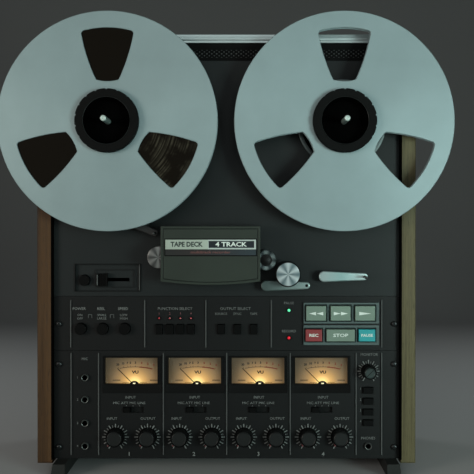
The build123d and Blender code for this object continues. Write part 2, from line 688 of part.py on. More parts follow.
def chassis_internals():
    """Motors, bearings, belt, transformer, circuit boards and control bodies."""
    motor = (-45.0, 300.0)
    solids = [reel_motor(-REEL_X), reel_motor(REEL_X)]
    solids += [bearing(*CAPSTAN, CAPSTAN_SHAFT_R, 12, -20)]
    for pivot in (PINCH_PIVOT, SUPPLY_PIVOT, TAKEUP_PIVOT):
        solids.append(bearing(*pivot, ARM_SHAFT_R, 6, -16))
    solids += [disc(*motor, 32, -100, -48), disc(*motor, 10, -48, -20), drive_belt(motor)]
    solids += [potentiometer(x, KNOB_Z) for name, x in knob_places()]
    solids += [potentiometer(*MONITOR_KNOB)]
    for x in switch_places():
        solids.append(block((x - 18, x + 18), (SWITCH_Z - 8, SWITCH_Z + 8), -18, -6.5))
    solids.append(block((-195, 195), (157, 214), -14, -12.4))
    solids.append(block((60, 160), (30, 120), -170, -95))
    for z in (30, 60, 90):
        solids.append(block((-160, 40), (z, z + 2), -170, -50))
    return solids


def build_nodes():
    """Every named node and its list of solids."""
    nodes = {
        "deck_plate": deck_plate(),
        "control_panels": [control_panel(), meter_panel()] + panel_screws(),
        "cabinet_covers": cabinet_covers(),
        "side_panels": [side_panel(-1), side_panel(1)],
        "feet": feet(),
        "head_assembly": head_assembly(),
        "connectors": connectors(),
        "chassis_internals": chassis_internals(),
        "supply_reel": reel(-REEL_X),
        "takeup_reel": reel(REEL_X),
        "supply_tape_pack": tape_pack(),
        "supply_spindle": spindle(-REEL_X),
        "takeup_spindle": spindle(REEL_X),
        "capstan": capstan(),
        "guide_roller": guide_roller(),
        "pinch_arm": pinch_arm(),
        "pinch_roller": pinch_roller(),
        "supply_tension_arm": tension_arm(SUPPLY_PIVOT, SUPPLY_TIP),
        "takeup_tension_arm": tension_arm(TAKEUP_PIVOT, TAKEUP_TIP),
        "head_cover": head_cover(),
        "cue_button": cue_button(),
        "cue_slider": cue_slider(),
        "monitor_knob": knob(*MONITOR_KNOB, MONITOR_KNOB_R, MONITOR_KNOB_FRONT,
                             MONITOR_KNOB_R + 0.8),
        "vu_meters": [],
    }
    for name, x, z, width, height, proud in rect_buttons():
        nodes[name] = [rect_button(x, z, width, height, proud)]
    for name, x, z, radius, proud in round_buttons():
        nodes[name] = [round_button(x, z, radius, proud)]
    for name, x in knob_places():
        nodes[name] = knob(x, KNOB_Z, KNOB_R, KNOB_FRONT, KNOB_SKIRT_R)
    for i, x in enumerate(spots(METER_X, METER_PITCH, CHANNELS)):
        nodes["vu_meters"] += vu_meter(x)
        nodes[f"vu_needle_{i + 1}"] = vu_needle(x + NEEDLE_SHIFT)
    for i, x in enumerate(switch_places()):
        nodes[f"input_switch_{i + 1}"] = input_switch(x)
    return nodes


def main():
    os.makedirs("parts", exist_ok=True)
    for name, solids in build_nodes().items():
        shape = solids[0] if len(solids) == 1 else Compound(solids)
        export_step(shape, f"parts/{name}.step")


main()
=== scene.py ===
import json
import math

import bmesh
import bpy
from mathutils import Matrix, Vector


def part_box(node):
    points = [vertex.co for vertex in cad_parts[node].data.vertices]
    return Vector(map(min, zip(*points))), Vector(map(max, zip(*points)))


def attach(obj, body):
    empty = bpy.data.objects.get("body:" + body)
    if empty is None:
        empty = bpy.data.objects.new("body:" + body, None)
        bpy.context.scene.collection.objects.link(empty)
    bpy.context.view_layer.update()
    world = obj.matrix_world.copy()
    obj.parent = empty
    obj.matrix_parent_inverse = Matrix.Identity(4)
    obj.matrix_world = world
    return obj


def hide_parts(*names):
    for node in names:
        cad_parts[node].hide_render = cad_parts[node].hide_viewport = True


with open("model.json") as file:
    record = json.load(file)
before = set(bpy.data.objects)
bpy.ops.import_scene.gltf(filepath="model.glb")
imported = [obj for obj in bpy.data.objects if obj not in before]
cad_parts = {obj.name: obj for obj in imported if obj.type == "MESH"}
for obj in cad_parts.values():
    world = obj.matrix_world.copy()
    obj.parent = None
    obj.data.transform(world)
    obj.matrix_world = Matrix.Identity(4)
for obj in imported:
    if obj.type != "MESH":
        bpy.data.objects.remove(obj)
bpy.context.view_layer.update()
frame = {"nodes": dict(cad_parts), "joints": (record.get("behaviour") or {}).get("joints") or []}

# Looks of the reel to reel tape deck. Sizes are in millimetres in the deck's own frame: +Z up,
# front towards -Y. "ahead" is the distance in front of the panels' front face. Lights and the
# floor are placed in metres.

MM = 0.001
PANEL_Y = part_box("deck_plate")[0].y
ROOT = "cabinet"
PRINT = 0.06               # thickness of a printed mark
TEXT_CAP = 3.3             # height of a capital letter of the panel legends


def low(node):
    """Lowest corner of a node in millimetres: x, distance ahead of the panel's face, z."""
    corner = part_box(node)[0]
    return corner.x / MM, (PANEL_Y - corner.y) / MM, corner.z / MM


def high(node):
    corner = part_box(node)[1]
    return corner.x / MM, (PANEL_Y - corner.y) / MM, corner.z / MM


def centre(node):
    """Middle of a node seen from the front: x and z."""
    a, b = low(node), high(node)
    return (a[0] + b[0]) / 2, (a[2] + b[2]) / 2


def front(node):
    """How far a node reaches ahead of the panel's face."""
    return low(node)[1]


def at(x, z, ahead):
    return x * MM, PANEL_Y - ahead * MM, z * MM


# ---- Shapes: each is a list of vertices and a list of faces ----

def prism(outline, back, front_at):
    """Straight block of an x-z outline between two distances ahead of the panel."""
    n = len(outline)
    verts = [at(x, z, front_at) for x, z in outline] + [at(x, z, back) for x, z in outline]
    faces = [tuple(range(n)), tuple(reversed(range(n, 2 * n)))]
    for i in range(n):
        j = (i + 1) % n
        faces.append((j, i, n + i, n + j))
    return verts, faces


def printed(outline, ahead=0.0):
    """Flat printed mark on a face that stands ahead of the panel."""
    return prism(outline, ahead, ahead + PRINT)


def ring_prism(outer, inner, back, front_at):
    """Block with a hole: two loops with the same number of points."""
    n = len(outer)
    loops = [(outer, front_at), (inner, front_at), (inner, back), (outer, back)]
    verts = [at(x, z, depth) for loop, depth in loops for x, z in loop]
    faces = []
    for k in range(4):
        first, second = k * n, (k + 1) % 4 * n
        for i in range(n):
            j = (i + 1) % n
            faces.append((first + i, first + j, second + j, second + i))
    return verts, faces


def lathe(x, z, profile, segments=64):
    """Solid turned about a front-to-back axis; the profile is (radius, ahead) points.

    An open profile is closed: on the axis if one end lies there, or else end to end."""
    first, last = profile[0], profile[-1]
    if first[0] == 0 and last[0] > 0:
        profile = profile + [(0, last[1])]
    elif last[0] == 0 and first[0] > 0:
        profile = [(0, first[1])] + profile
    elif first[0] > 0 and first != last:
        profile = profile + [first]
    verts, rings = [], []
    for radius, ahead in profile:
        if rings and radius > 0 and (radius, ahead) == profile[0]:
            rings.append(rings[0])
            continue
        count = 1 if radius == 0 else segments
        rings.append(range(len(verts), len(verts) + count))
        for i in range(count):
            angle = 2 * math.pi * i / segments
            verts.append(at(x + radius * math.cos(angle), z + radius * math.sin(angle), ahead))
    faces = []
    for a, b in zip(rings, rings[1:]):
        for i in range(segments):
            j = (i + 1) % segments
            face = [a[i % len(a)], a[j % len(a)], b[j % len(b)], b[i % len(b)]]
            faces.append(tuple(dict.fromkeys(face)))
    return verts, [face for face in faces if len(face) > 2]


def ring_between(first, first_ahead, second, second_ahead):
    """Sloped band between two loops with the same number of points."""
    n = len(first)
    verts = [at(x, z, first_ahead) for x, z in first] + [at(x, z, second_ahead) for x, z in second]
    return verts, [(i, (i + 1) % n, n + (i + 1) % n, n + i) for i in range(n)]


def rail(profile, x0, x1):
    """Bar along X with a (ahead, z) profile."""
    n = len(profile)
    verts = [at(x, z, ahead) for x in (x0, x1) for ahead, z in profile]
    faces = [tuple(range(n)), tuple(reversed(range(n, 2 * n)))]
    faces += [(i, (i + 1) % n, n + (i + 1) % n, n + i) for i in range(n)]
    return verts, faces


def rect(x0, x1, z0, z1):
    return [(x0, z0), (x1, z0), (x1, z1), (x0, z1)]


def around(x, z, width, height):
    """Rectangle about a centre."""
    return rect(x - width / 2, x + width / 2, z - height / 2, z + height / 2)


def rounded(x, z, width, height, radius, steps=5):
    """Rectangle about a centre with round corners."""
    points = []
    for k, (sx, sz) in enumerate(((1, -1), (1, 1), (-1, 1), (-1, -1))):
        cx, cz = x + sx * (width / 2 - radius), z + sz * (height / 2 - radius)
        for i in range(steps + 1):
            angle = math.radians(-90 + 90 * k + 90 * i / steps)
            points.append((cx + radius * math.cos(angle), cz + radius * math.sin(angle)))
    return points


def circle(x, z, radius, count=32):
    angles = [2 * math.pi * i / count for i in range(count)]
    return [(x + radius * math.cos(a), z + radius * math.sin(a)) for a in angles]


def square_loop(x, z, half_w, half_h, count=16):
    """Rectangle walked in the same directions as the points of a circle of that count."""
    points = []
    for i in range(count):
        c, s = math.cos(2 * math.pi * i / count), math.sin(2 * math.pi * i / count)
        reach = max(abs(c), abs(s))
        points.append((x + half_w * c / reach, z + half_h * s / reach))
    return points


def arc_band(x, z, inner, outer, start, end, ahead, steps=24):
    """Flat printed band between two radii and two angles in degrees."""
    angles = [math.radians(start + (end - start) * i / steps) for i in range(steps + 1)]
    outline = [(x + outer * math.cos(a), z + outer * math.sin(a)) for a in angles]
    outline += [(x + inner * math.cos(a), z + inner * math.sin(a)) for a in reversed(angles)]
    return printed(outline, ahead)


def text(words, x, z, ahead, cap=TEXT_CAP, width=None, weight=0.0):
    """Printed words centred on x and z, squeezed to a width where one is given.

    The weight is how far the outline of each letter is pushed out, for bolder letters."""
    curve = bpy.data.curves.new("words", "FONT")
    curve.body, curve.align_x, curve.align_y = words, "CENTER", "CENTER"
    curve.size, curve.resolution_u, curve.extrude = cap / 0.7 * MM, 2, PRINT / 2 * MM
    curve.offset = weight * MM
    carrier = bpy.data.objects.new("words", curve)
    mesh = bpy.data.meshes.new_from_object(carrier)
    xs = [v.co.x for v in mesh.vertices]
    squeeze = width * MM / (max(xs) - min(xs)) if width else 1
    mid = (max(xs) + min(xs)) / 2
    base = Vector(at(x, z, ahead))
    verts = [tuple(base + Vector(((v.co.x - mid) * squeeze, -v.co.z, v.co.y)))
             for v in mesh.vertices]
    faces = [tuple(face.vertices) for face in mesh.polygons]
    bpy.data.objects.remove(carrier)
    return verts, faces


def piece(name, shapes, material, body=ROOT, bevel=0.0, origin=None):
    """One Blender object made of shapes; it rides on a body."""
    mesh = bpy.data.meshes.new(name)
    work = bmesh.new()
    shift = Vector(origin) if origin else Vector((0, 0, 0))
    for verts, faces in shapes:
        made = [work.verts.new(Vector(v) - shift) for v in verts]
        for face in faces:
            work.faces.new([made[i] for i in face])
    bmesh.ops.recalc_face_normals(work, faces=work.faces)
    work.to_mesh(mesh)
    work.free()
    mesh.polygons.foreach_set("use_smooth", [True] * len(mesh.polygons))
    mesh.set_sharp_from_angle(angle=math.radians(32))
    mesh.materials.append(material)
    obj = bpy.data.objects.new(name, mesh)
    obj.location = shift
    bpy.context.scene.collection.objects.link(obj)
    if bevel:
        edge = obj.modifiers.new("edge", "BEVEL")
        edge.width, edge.segments, edge.limit_method = bevel * MM, 3, "ANGLE"
        edge.angle_limit = math.radians(40)
        edge.harden_normals = True
    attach(obj, body)
    return obj


# ---- Materials ----

def rgba(colour):
    """Plain colours get an alpha of 1; links pass unchanged."""
    return (*colour, 1) if isinstance(colour, tuple) else colour


def shade(colour, factor):
    return tuple(min(1.0, c * factor) for c in colour)


class Look:
    """One material being made, with short ways to add nodes and to set its shader."""

    def __init__(self, name):
        self.material = bpy.data.materials.new(name)
        self.material.use_nodes = True
        self.nodes, self.links = self.material.node_tree.nodes, self.material.node_tree.links
        self.shader = self.nodes["Principled BSDF"]
        self.where = self.nodes.new("ShaderNodeTexCoord").outputs["Object"]

    def feed(self, socket, value):
        if isinstance(value, bpy.types.NodeSocket):
            self.links.new(value, socket)
        else:
            socket.default_value = value

    def node(self, kind, sockets, output, **settings):
        """Adds a node whose sockets get links or plain values, and gives one of its outputs."""
        node = self.nodes.new("ShaderNode" + kind)
        for key, value in settings.items():
            setattr(node, key, value)
        for key, value in sockets.items():
            self.feed(node.inputs[key], value)
        return node.outputs[output]

    def noise(self, vector, scale, detail=3.0):
        return self.node("TexNoise", {"Vector": vector, "Scale": scale, "Detail": detail}, "Fac")

    def rings(self, radius, scale, detail=2.0):
        """Noise that changes only with the distance from an axis."""
        return self.node("TexNoise", {"W": radius, "Scale": scale, "Detail": detail}, "Fac",
                         noise_dimensions="1D")

    def maths(self, operation, *values):
        return self.node("Math", dict(enumerate(values)), "Value", operation=operation)

    def vector(self, operation, *values, output="Vector"):
        return self.node("VectorMath", dict(enumerate(values)), output, operation=operation)

    def part(self, vector, axis):
        return self.node("SeparateXYZ", {"Vector": vector}, axis)

    def spread(self, value, low_out, high_out, low_in=0.3, high_in=0.7, curve="LINEAR"):
        """Maps the middle of a noise's range onto two output values."""
        sockets = {"Value": value, "From Min": low_in, "From Max": high_in, "To Min": low_out,
                   "To Max": high_out}
        return self.node("MapRange", sockets, "Result", interpolation_type=curve)

    def blend(self, factor, first, second, kind="MIX"):
        sockets = {"Factor": factor, "A": rgba(first), "B": rgba(second)}
        return self.node("Mix", sockets, "Result", data_type="RGBA", blend_type=kind)

    def mottle(self, where, scale, colour, variation):
        """Colour that wanders a little to either side of its mean."""
        return self.blend(self.spread(self.noise(where, scale), 0, 1),
                          shade(colour, 1 - variation), shade(colour, 1 + variation))

    def ramp(self, value, stops, curve="LINEAR"):
        """Colour along a ramp of (place, colour) stops."""
        node = self.nodes.new("ShaderNodeValToRGB")
        node.color_ramp.interpolation = curve
        marks = node.color_ramp.elements
        for mark, (place, colour) in zip(marks, (stops[0], stops[-1])):
            mark.position, mark.color = place, rgba(colour)
        for place, colour in stops[1:-1]:
            marks.new(place).color = rgba(colour)
        self.links.new(value, node.inputs["Fac"])
        return node.outputs["Color"]

    def from_axis(self, x, z):
        """Object position counted from a front-to-back axis, and the distance from that axis."""
        shifted = self.vector("SUBTRACT", self.where, (x * MM, 0, z * MM))
        flat = self.vector("MULTIPLY", shifted, (1, 0, 1))
        return flat, self.vector("LENGTH", flat, output="Value")

    def surface(self, sockets, relief=None, depth=0.0):
        """Sets the shader's sockets, adds the fine relief of the surface, ends the material."""
        for key, value in sockets.items():
            self.feed(self.shader.inputs[key], value)
        if relief:
            normal = self.node("Bump", {"Height": relief, "Distance": depth * MM}, "Normal")
            self.links.new(normal, self.shader.inputs["Normal"])
        return self.material


def finish(name, colour, roughness, grain=900.0, depth=0.02, metallic=0.0, variation=0.12,
           coat=0.0, specular=0.5):
    """Paint, plastic or plain metal: mottled colour, uneven gloss and a fine grain."""
    look = Look(name)
    fine = look.noise(look.where, grain, 4.0)
    return look.surface({"Base Color": look.mottle(look.where, 14.0, colour, variation),
                         "Roughness": look.spread(fine, max(0.02, roughness - 0.06),
                                                  roughness + 0.06),
                         "Metallic": metallic, "Coat Weight": coat,
                         "Specular IOR Level": specular}, fine, depth)


def ink(name, colour, roughness=0.6):
    return finish(name, colour, roughness, grain=2000, depth=0.0)


def turned(name, x, z, colour, roughness, anisotropy=0.6, rings=2600.0, depth=0.01,
           metallic=1.0, variation=0.08):
    """Metal with fine rings about a front-to-back axis, as left by turning or spinning."""
    look = Look(name)
    where, radius = look.from_axis(x, z)
    ring = look.rings(radius, rings)
    tangent = look.node("Tangent", {}, "Tangent", direction_type="RADIAL", axis="Y")
    return look.surface({"Base Color": look.mottle(where, 22.0, colour, variation),
                         "Roughness": look.spread(ring, roughness - 0.05, roughness + 0.05),
                         "Metallic": metallic, "Anisotropic": anisotropy,
                         "Anisotropic Rotation": 0.25, "Tangent": tangent}, ring, depth)


def sunburst(name, x, z, dark, light, roughness=0.35, rays=6, metallic=0.5):
    """Spun metal with painted highlights: lighter rays painted on its face stand in for the bright
    sectors that its fine rings gather from the light.
    """
    look = Look(name)
    where, radius = look.from_axis(x, z)
    angle = look.maths("ARCTAN2", look.part(where, "Z"), look.part(where, "X"))
    upright = look.maths("MULTIPLY_ADD", angle, rays, -rays * math.pi / 2)
    ray_shape = look.maths("MULTIPLY_ADD", look.maths("COSINE", upright), 0.5, 0.5)
    # Painted highlight: bright rays set by angle, with a little noise mixed in.
    painted_rays = look.maths("MULTIPLY_ADD", look.noise(where, 180.0), 0.35,
                      look.maths("MULTIPLY_ADD", ray_shape, 0.85, -0.12))
    ring = look.rings(radius, 4200.0)
    return look.surface({"Base Color": look.blend(painted_rays, dark, light), "Metallic": metallic,
                         "Roughness": look.spread(ring, roughness - 0.06, roughness + 0.06)},
                        ring, 0.006)


def across(name, x0, x1, stops, roughness, metallic):
    """Finish whose colour changes from left to right; the stops are (place, colour)."""
    look = Look(name)
    place = look.spread(look.part(look.where, "X"), 0, 1, x0 * MM, x1 * MM)
    jitter = look.maths("MULTIPLY_ADD", look.noise(look.where, 160.0), 0.12, place)
    fine = look.noise(look.where, 1600.0, 4.0)
    return look.surface({"Base Color": look.ramp(jitter, stops), "Metallic": metallic,
                         "Roughness": look.spread(fine, roughness - 0.06, roughness + 0.06)},
                        fine, 0.01)


def two_depths(name, front_colour, shade_colour, depth, roughness):
    """Enamel with painted shade: surfaces more than a given depth behind the panel's face get a
    darker colour that stands in for the shade in recesses.
    """
    look = Look(name)
    behind = look.maths("GREATER_THAN", look.part(look.where, "Y"), PANEL_Y + depth * MM)
    face = look.mottle(look.where, 14.0, front_colour, 0.1)
    fine = look.noise(look.where, 2400.0, 4.0)
    return look.surface({"Base Color": look.blend(behind, face, shade_colour),
                         "Roughness": look.spread(fine, roughness - 0.06, roughness + 0.06),
                         "Specular IOR Level": 0.3}, fine, 0.015)


# Painted light: tints for the two sides, one for the warm light on the left and one for the
# brighter greenish light on the right.
LEFT_PAINTED_LIGHT_TINT, RIGHT_PAINTED_LIGHT_TINT = (0.66, 0.35, 0.20), (1.18, 1.12, 0.88)


def wood(name, dark, mid, light):
    """Veneer with the grain running up the board: bands, streaks and short pores.

    The two sides get painted light: the left one is tinted redder and darker, the right one paler
    and brighter, standing in for the warm and the greenish lamps."""
    look = Look(name)

    def along_grain(scale, detail):
        return look.noise(look.node("Mapping", {"Vector": look.where, "Scale": scale}, "Vector"),
                          1.0, detail)

    bands = along_grain((45, 22, 1.6), 5.0)
    streaks = along_grain((700, 420, 9), 4.0)
    pores = look.spread(along_grain((2600, 1700, 60), 2.0), 0.0, 1.0, 0.28, 0.42)
    figure = look.maths("MULTIPLY_ADD", streaks, 0.45, look.spread(bands, 0.05, 0.6, 0.25, 0.75))
    veneer = look.ramp(figure, ((0.3, dark), (0.5, mid), (0.72, light)))
    side = look.spread(look.part(look.where, "X"), 0, 1, -0.1, 0.1)
    tinted = look.blend(1.0, look.blend(pores, shade(dark, 0.5), veneer),
                        look.blend(side, LEFT_PAINTED_LIGHT_TINT, RIGHT_PAINTED_LIGHT_TINT), "MULTIPLY")
    return look.surface({"Base Color": tinted, "Specular IOR Level": 0.25,
                         "Roughness": look.spread(streaks, 0.42, 0.6)}, pores, 0.06)


PAINTED_HIGHLIGHT_SIDE = (0.87, 0.0, -0.5)     # the side of the pack where the turns get a painted highlight


def tape_edge(name, x, z):
    """Edges of wound tape: brown-black, with a painted highlight: turns on one fixed side of the
    pack are lighter, standing in for the light they catch there.
    """
    look = Look(name)
    where, radius = look.from_axis(x, z)
    layers = look.rings(radius, 420.0, 4.0)
    heading = look.vector("NORMALIZE", where)
    facing = look.vector("DOT_PRODUCT", heading, PAINTED_HIGHLIGHT_SIDE, output="Value")
    highlight_side = look.spread(facing, 0.0, 1.0, 0.45, 0.85)
    patches = look.spread(look.noise(where, 55.0), 0.0, 1.0, 0.42, 0.62)
    # Painted highlight: only the turns on the fixed side of the pack get the lighter colour.
    painted_highlight = look.maths("MULTIPLY", look.spread(layers, 0.05, 1, 0.44, 0.68), highlight_side)
    colour = look.blend(look.maths("MULTIPLY", painted_highlight, patches), (0.0068, 0.0047, 0.0029),
                        (0.062, 0.054, 0.038))
    return look.surface({"Base Color": colour, "Roughness": look.spread(layers, 0.6, 0.45),
                         "Metallic": 0.1, "Specular IOR Level": 0.06},
                        look.rings(radius, 1900.0), 0.05)


DIAL_GLOW = 42.0           # how far the lamp's light reaches over a dial


def lit_dial(name):
    """Cream dial lit from a lamp behind the bottom middle: bright there, dull in the corners."""
    look = Look(name)
    where, radius = look.from_axis(0, 0)
    glow = look.ramp(look.spread(radius, 0, 1, 0, DIAL_GLOW * MM),
                     ((0.12, (1.0, 0.76, 0.28)), (0.25, (0.62, 0.33, 0.085)),
                      (0.46, (0.26, 0.150, 0.056)), (0.72, (0.060, 0.038, 0.017)),
                      (1.0, (0.016, 0.010, 0.005))), "B_SPLINE")
    speck = look.noise(where, 1500.0)
    paper = look.blend(speck, (0.070, 0.055, 0.036), (0.090, 0.072, 0.047))
    return look.surface({"Emission Color": glow, "Emission Strength": 1.2, "Base Color": paper,
                         "Roughness": 0.7}, speck, 0.01)


def lamp(name, colour, strength):
    """Glowing moulded plastic with faint streaks: lenses over small lamps, and also a painted
    glint on the meter pivots.
    """
    look = Look(name)
    streak = look.spread(look.noise(look.where, 1100.0), 0, 1)
    mixed = look.blend(streak, shade(colour, 0.6), colour)
    return look.surface({"Emission Color": mixed, "Base Color": mixed,
                         "Emission Strength": strength, "Roughness": 0.2})


def clear_window(name):
    look = Look(name)
    smears = look.spread(look.noise(look.where, 40.0), 0.03, 0.08)
    return look.surface({"Base Color": (1, 1, 1, 1), "Roughness": smears,
                         "Transmission Weight": 1.0, "IOR": 1.1, "Alpha": 0.25})


REEL_COLOUR = (0.30, 0.385, 0.40)
# The second colour is painted shade for deck surfaces set back behind the panel's face, such as
# the cue tray.
GREEN_GREY, TRAY_PAINTED_SHADE = (0.0315, 0.0425, 0.0295), (0.008, 0.011, 0.0115)
PAINT = two_depths("deck_enamel", GREEN_GREY, TRAY_PAINTED_SHADE, 1.0, 0.45)
COVER_PAINT = finish("cover_enamel", (0.025, 0.0335, 0.0255), 0.45, grain=2400, depth=0.015,
                     specular=0.35)
# Painted shade: a darker copy of the cover's enamel for the floor of the groove.
COVER_GROOVE_PAINTED_SHADE = finish("cover_groove_painted_shade", (0.009, 0.0125, 0.0098), 0.5, grain=2400, depth=0.015,
                     specular=0.2)
BLACK_PANEL = finish("panel_enamel", (0.0042, 0.0048, 0.0050), 0.42, grain=2600, depth=0.015,
                     specular=0.27)
CRINKLE = finish("crinkle_enamel", (0.012, 0.0125, 0.0125), 0.55, grain=900, depth=0.12,
                 specular=0.3)
BLACK_PLASTIC = finish("black_plastic", (0.0030, 0.0033, 0.0033), 0.42, grain=3000, depth=0.01,
                       specular=0.2)
SOFT_BLACK = finish("soft_black", (0.0018, 0.0019, 0.0019), 0.6, grain=3000, depth=0.01,
                    specular=0.12)
DEEP_BLACK = finish("deep_black", (0.0007, 0.0007, 0.0007), 0.8, grain=3000, depth=0.01,
                    specular=0.02)
RUBBER = finish("rubber", (0.0035, 0.0038, 0.0036), 0.7, grain=1500, depth=0.04, specular=0.15)
FOOT = finish("foot_moulding", (0.014, 0.015, 0.014), 0.6, grain=1200, depth=0.05, specular=0.3)
WALNUT = wood("walnut_veneer", (0.030, 0.024, 0.013), (0.074, 0.064, 0.038),
              (0.125, 0.112, 0.070))
TRIM = finish("silver_trim", (0.56, 0.64, 0.64), 0.36, grain=1800, depth=0.01, metallic=0.9)
NICKEL = finish("nickel", (0.30, 0.31, 0.30), 0.3, grain=1200, depth=0.008, metallic=1.0)
PLATED = finish("plated_steel", (0.4, 0.41, 0.4), 0.4, grain=700, depth=0.02, metallic=1.0)
ZINC = finish("dark_zinc", (0.07, 0.073, 0.07), 0.45, grain=700, depth=0.02, metallic=0.8)
GRILLE_BACK = finish("grille_backing", (0.09, 0.094, 0.094), 0.5, grain=700, metallic=0.3)
SCREW = finish("blackened_screw", (0.03, 0.032, 0.033), 0.32, grain=900, metallic=0.8)
DARK_LEVER = finish("dark_lever", (0.040, 0.040, 0.040), 0.4, grain=1600, metallic=0.4)
BUTTON = finish("button_black", (0.0011, 0.0012, 0.0012), 0.5, grain=2600, depth=0.012,
                specular=0.10)
SLOT_LINER = finish("slot_liner", (0.0042, 0.0048, 0.0048), 0.6, grain=2600, specular=0.15)
KNOB_FACE = finish("knob_face", (0.0040, 0.0050, 0.0050), 0.42, grain=2600, depth=0.012,
                   specular=0.4)
JACK_RING = finish("jack_ring", (0.11, 0.12, 0.115), 0.4, grain=1200, metallic=0.7)
MONITOR_FACE = finish("monitor_face", (0.030, 0.045, 0.043), 0.4, grain=1800, metallic=0.3)
WELL = finish("well_teal", (0.003, 0.011, 0.011), 0.5, grain=1600, depth=0.015, specular=0.25)
LEGEND = ink("legend_ink", (0.17, 0.18, 0.175))
DIVIDER = ink("divider_ink", (0.060, 0.064, 0.063))
# Faint grey used both for printed brackets and for painted highlights on the cue tray and slider.
FAINT_PRINT_AND_HIGHLIGHT = ink("faint_print_and_painted_highlight", (0.10, 0.107, 0.105))
# Painted light: legend ink tinted red by the glow of the function lamps next to the numbers.
LAMP_TINTED_LEGEND = ink("lamp_tinted_legend_ink", (0.20, 0.075, 0.08))
DIAL_INK = ink("dial_ink", (0.012, 0.008, 0.005), 0.7)
DIAL_RED = ink("dial_red", (0.17, 0.022, 0.008), 0.7)
DIAL = lit_dial("lit_dial")
WINDOW = clear_window("meter_window")
KEY_GREY = finish("key_grey_green", (0.19, 0.27, 0.215), 0.38, grain=1800, coat=0.2)
KEY_RED = finish("key_red", (0.285, 0.036, 0.040), 0.38, grain=1800, coat=0.2)
KEY_BLUE = finish("key_blue", (0.022, 0.40, 0.43), 0.38, grain=1800, coat=0.2)
KEY_MARK = ink("key_mark", (0.80, 0.88, 0.82), 0.5)
SLATE = finish("slate_bezel", (0.075, 0.112, 0.110), 0.42, grain=2200, depth=0.015)
RED_DOT = ink("pointer_red", (0.20, 0.055, 0.06), 0.5)
GREEN_LAMP = lamp("green_lamp", (0.12, 0.75, 0.38), 1.2)
RED_LAMP = lamp("red_lamp", (0.62, 0.02, 0.035), 0.9)
# Painted highlight: a glowing mark on each meter pivot cap that stands in for the meter lamp's
# light showing there; it is no lamp.
PAINTED_PIVOT_GLINT = lamp("painted_pivot_glint", (0.95, 0.85, 0.55), 0.8)
DIM_RED_LAMP = lamp("dim_red_lamp", (0.42, 0.05, 0.06), 0.45)
PLATE_LINE = finish("plate_line", (0.62, 0.70, 0.66), 0.35, grain=1600, metallic=0.4)
PLATE_LIGHT = finish("plate_light", (0.54, 0.62, 0.53), 0.35, grain=1600, metallic=0.4)
PLATE_DARK = finish("plate_dark", (0.018, 0.024, 0.03), 0.35, grain=1600, metallic=0.3)
PLATE_RED = ink("plate_red_ink", (0.16, 0.055, 0.05), 0.5)
PLATE_INK = ink("plate_ink", (0.02, 0.035, 0.03), 0.5)
ADAPTOR_EDGE = finish("adaptor_edge", (0.016, 0.018, 0.018), 0.22, grain=2000, specular=0.8)
TAPE = tape_edge("tape_edge", *centre("supply_tape_pack"))


# ---- Stage ----

CAMERA_AHEAD = 1170.0
CAMERA_X, CAMERA_Z = 25.5, 315.0
CAMERA_PITCH = 0.45        # degrees down
FRAME_PX = 474
FOCAL_PX = 940.0
SENSOR = 36.0
AXIS_RIGHT, AXIS_UP = 10.0, 10.6    # where the optical axis meets the frame, from its middle


def camera():
    data = bpy.data.cameras.new("camera")
    data.sensor_width, data.lens = SENSOR, SENSOR * FOCAL_PX / FRAME_PX
    data.shift_x, data.shift_y = -AXIS_RIGHT / FRAME_PX, -AXIS_UP / FRAME_PX
    data.clip_end = 50
    obj = bpy.data.objects.new("camera", data)
    obj.location = at(CAMERA_X, CAMERA_Z, CAMERA_AHEAD)
    obj.rotation_euler = (math.radians(90 - CAMERA_PITCH), 0, 0)
    bpy.context.scene.collection.objects.link(obj)
    bpy.context.scene.camera = obj


PAPER_NEAR_Y, PAPER_FAR_Y = 0.25, 1.7      # metres, where the painted shade on the paper starts and ends


def studio_paper(name):
    """Pale floor paper with painted shade: its colour darkens softly up the backdrop, away from
    the lamps.
    """
    look = Look(name)
    shade_share = look.spread(look.part(look.where, "Y"), 0, 1, PAPER_NEAR_Y, PAPER_FAR_Y, "SMOOTHSTEP")
    colour = look.blend(shade_share, (0.42, 0.42, 0.42), (0.17, 0.17, 0.17))
    return look.surface({"Base Color": colour, "Specular IOR Level": 0.1,
                         "Roughness": look.spread(look.noise(look.where, 60.0), 0.85, 0.95)})


def stage():
    """Pale floor that sweeps up into a backdrop well behind the deck."""
    width, depth_ahead, rise_start, rise, top = 8.0, 4.0, 1.6, 0.8, 4.0
    profile = [(-depth_ahead, 0.0)]
    for i in range(17):
        angle = math.pi / 2 * i / 16
        profile.append((rise_start + rise * math.sin(angle), rise * (1 - math.cos(angle))))
    profile.append((rise_start + rise, top))
    verts = [(x, y, z) for x in (-width / 2, width / 2) for y, z in profile]
    n = len(profile)
    faces = [(i, i + 1, n + i + 1, n + i) for i in range(n - 1)]
    mesh = bpy.data.meshes.new("floor")
    mesh.from_pydata(verts, [], faces)
    mesh.polygons.foreach_set("use_smooth", [True] * len(faces))
    mesh.materials.append(studio_paper("studio_paper"))
    floor = bpy.data.objects.new("floor", mesh)
    bpy.context.scene.collection.objects.link(floor)


def area_light(name, location, target, size, power, colour):
    data = bpy.data.lights.new(name, "AREA")
    data.shape, data.size, data.size_y = "RECTANGLE", size[0], size[1]
    data.energy, data.color = power, colour
    obj = bpy.data.objects.new(name, data)
    obj.location = location
    aim = Vector(target) - Vector(location)
    obj.rotation_euler = aim.to_track_quat("-Z", "Y").to_euler()
    bpy.context.scene.collection.objects.link(obj)


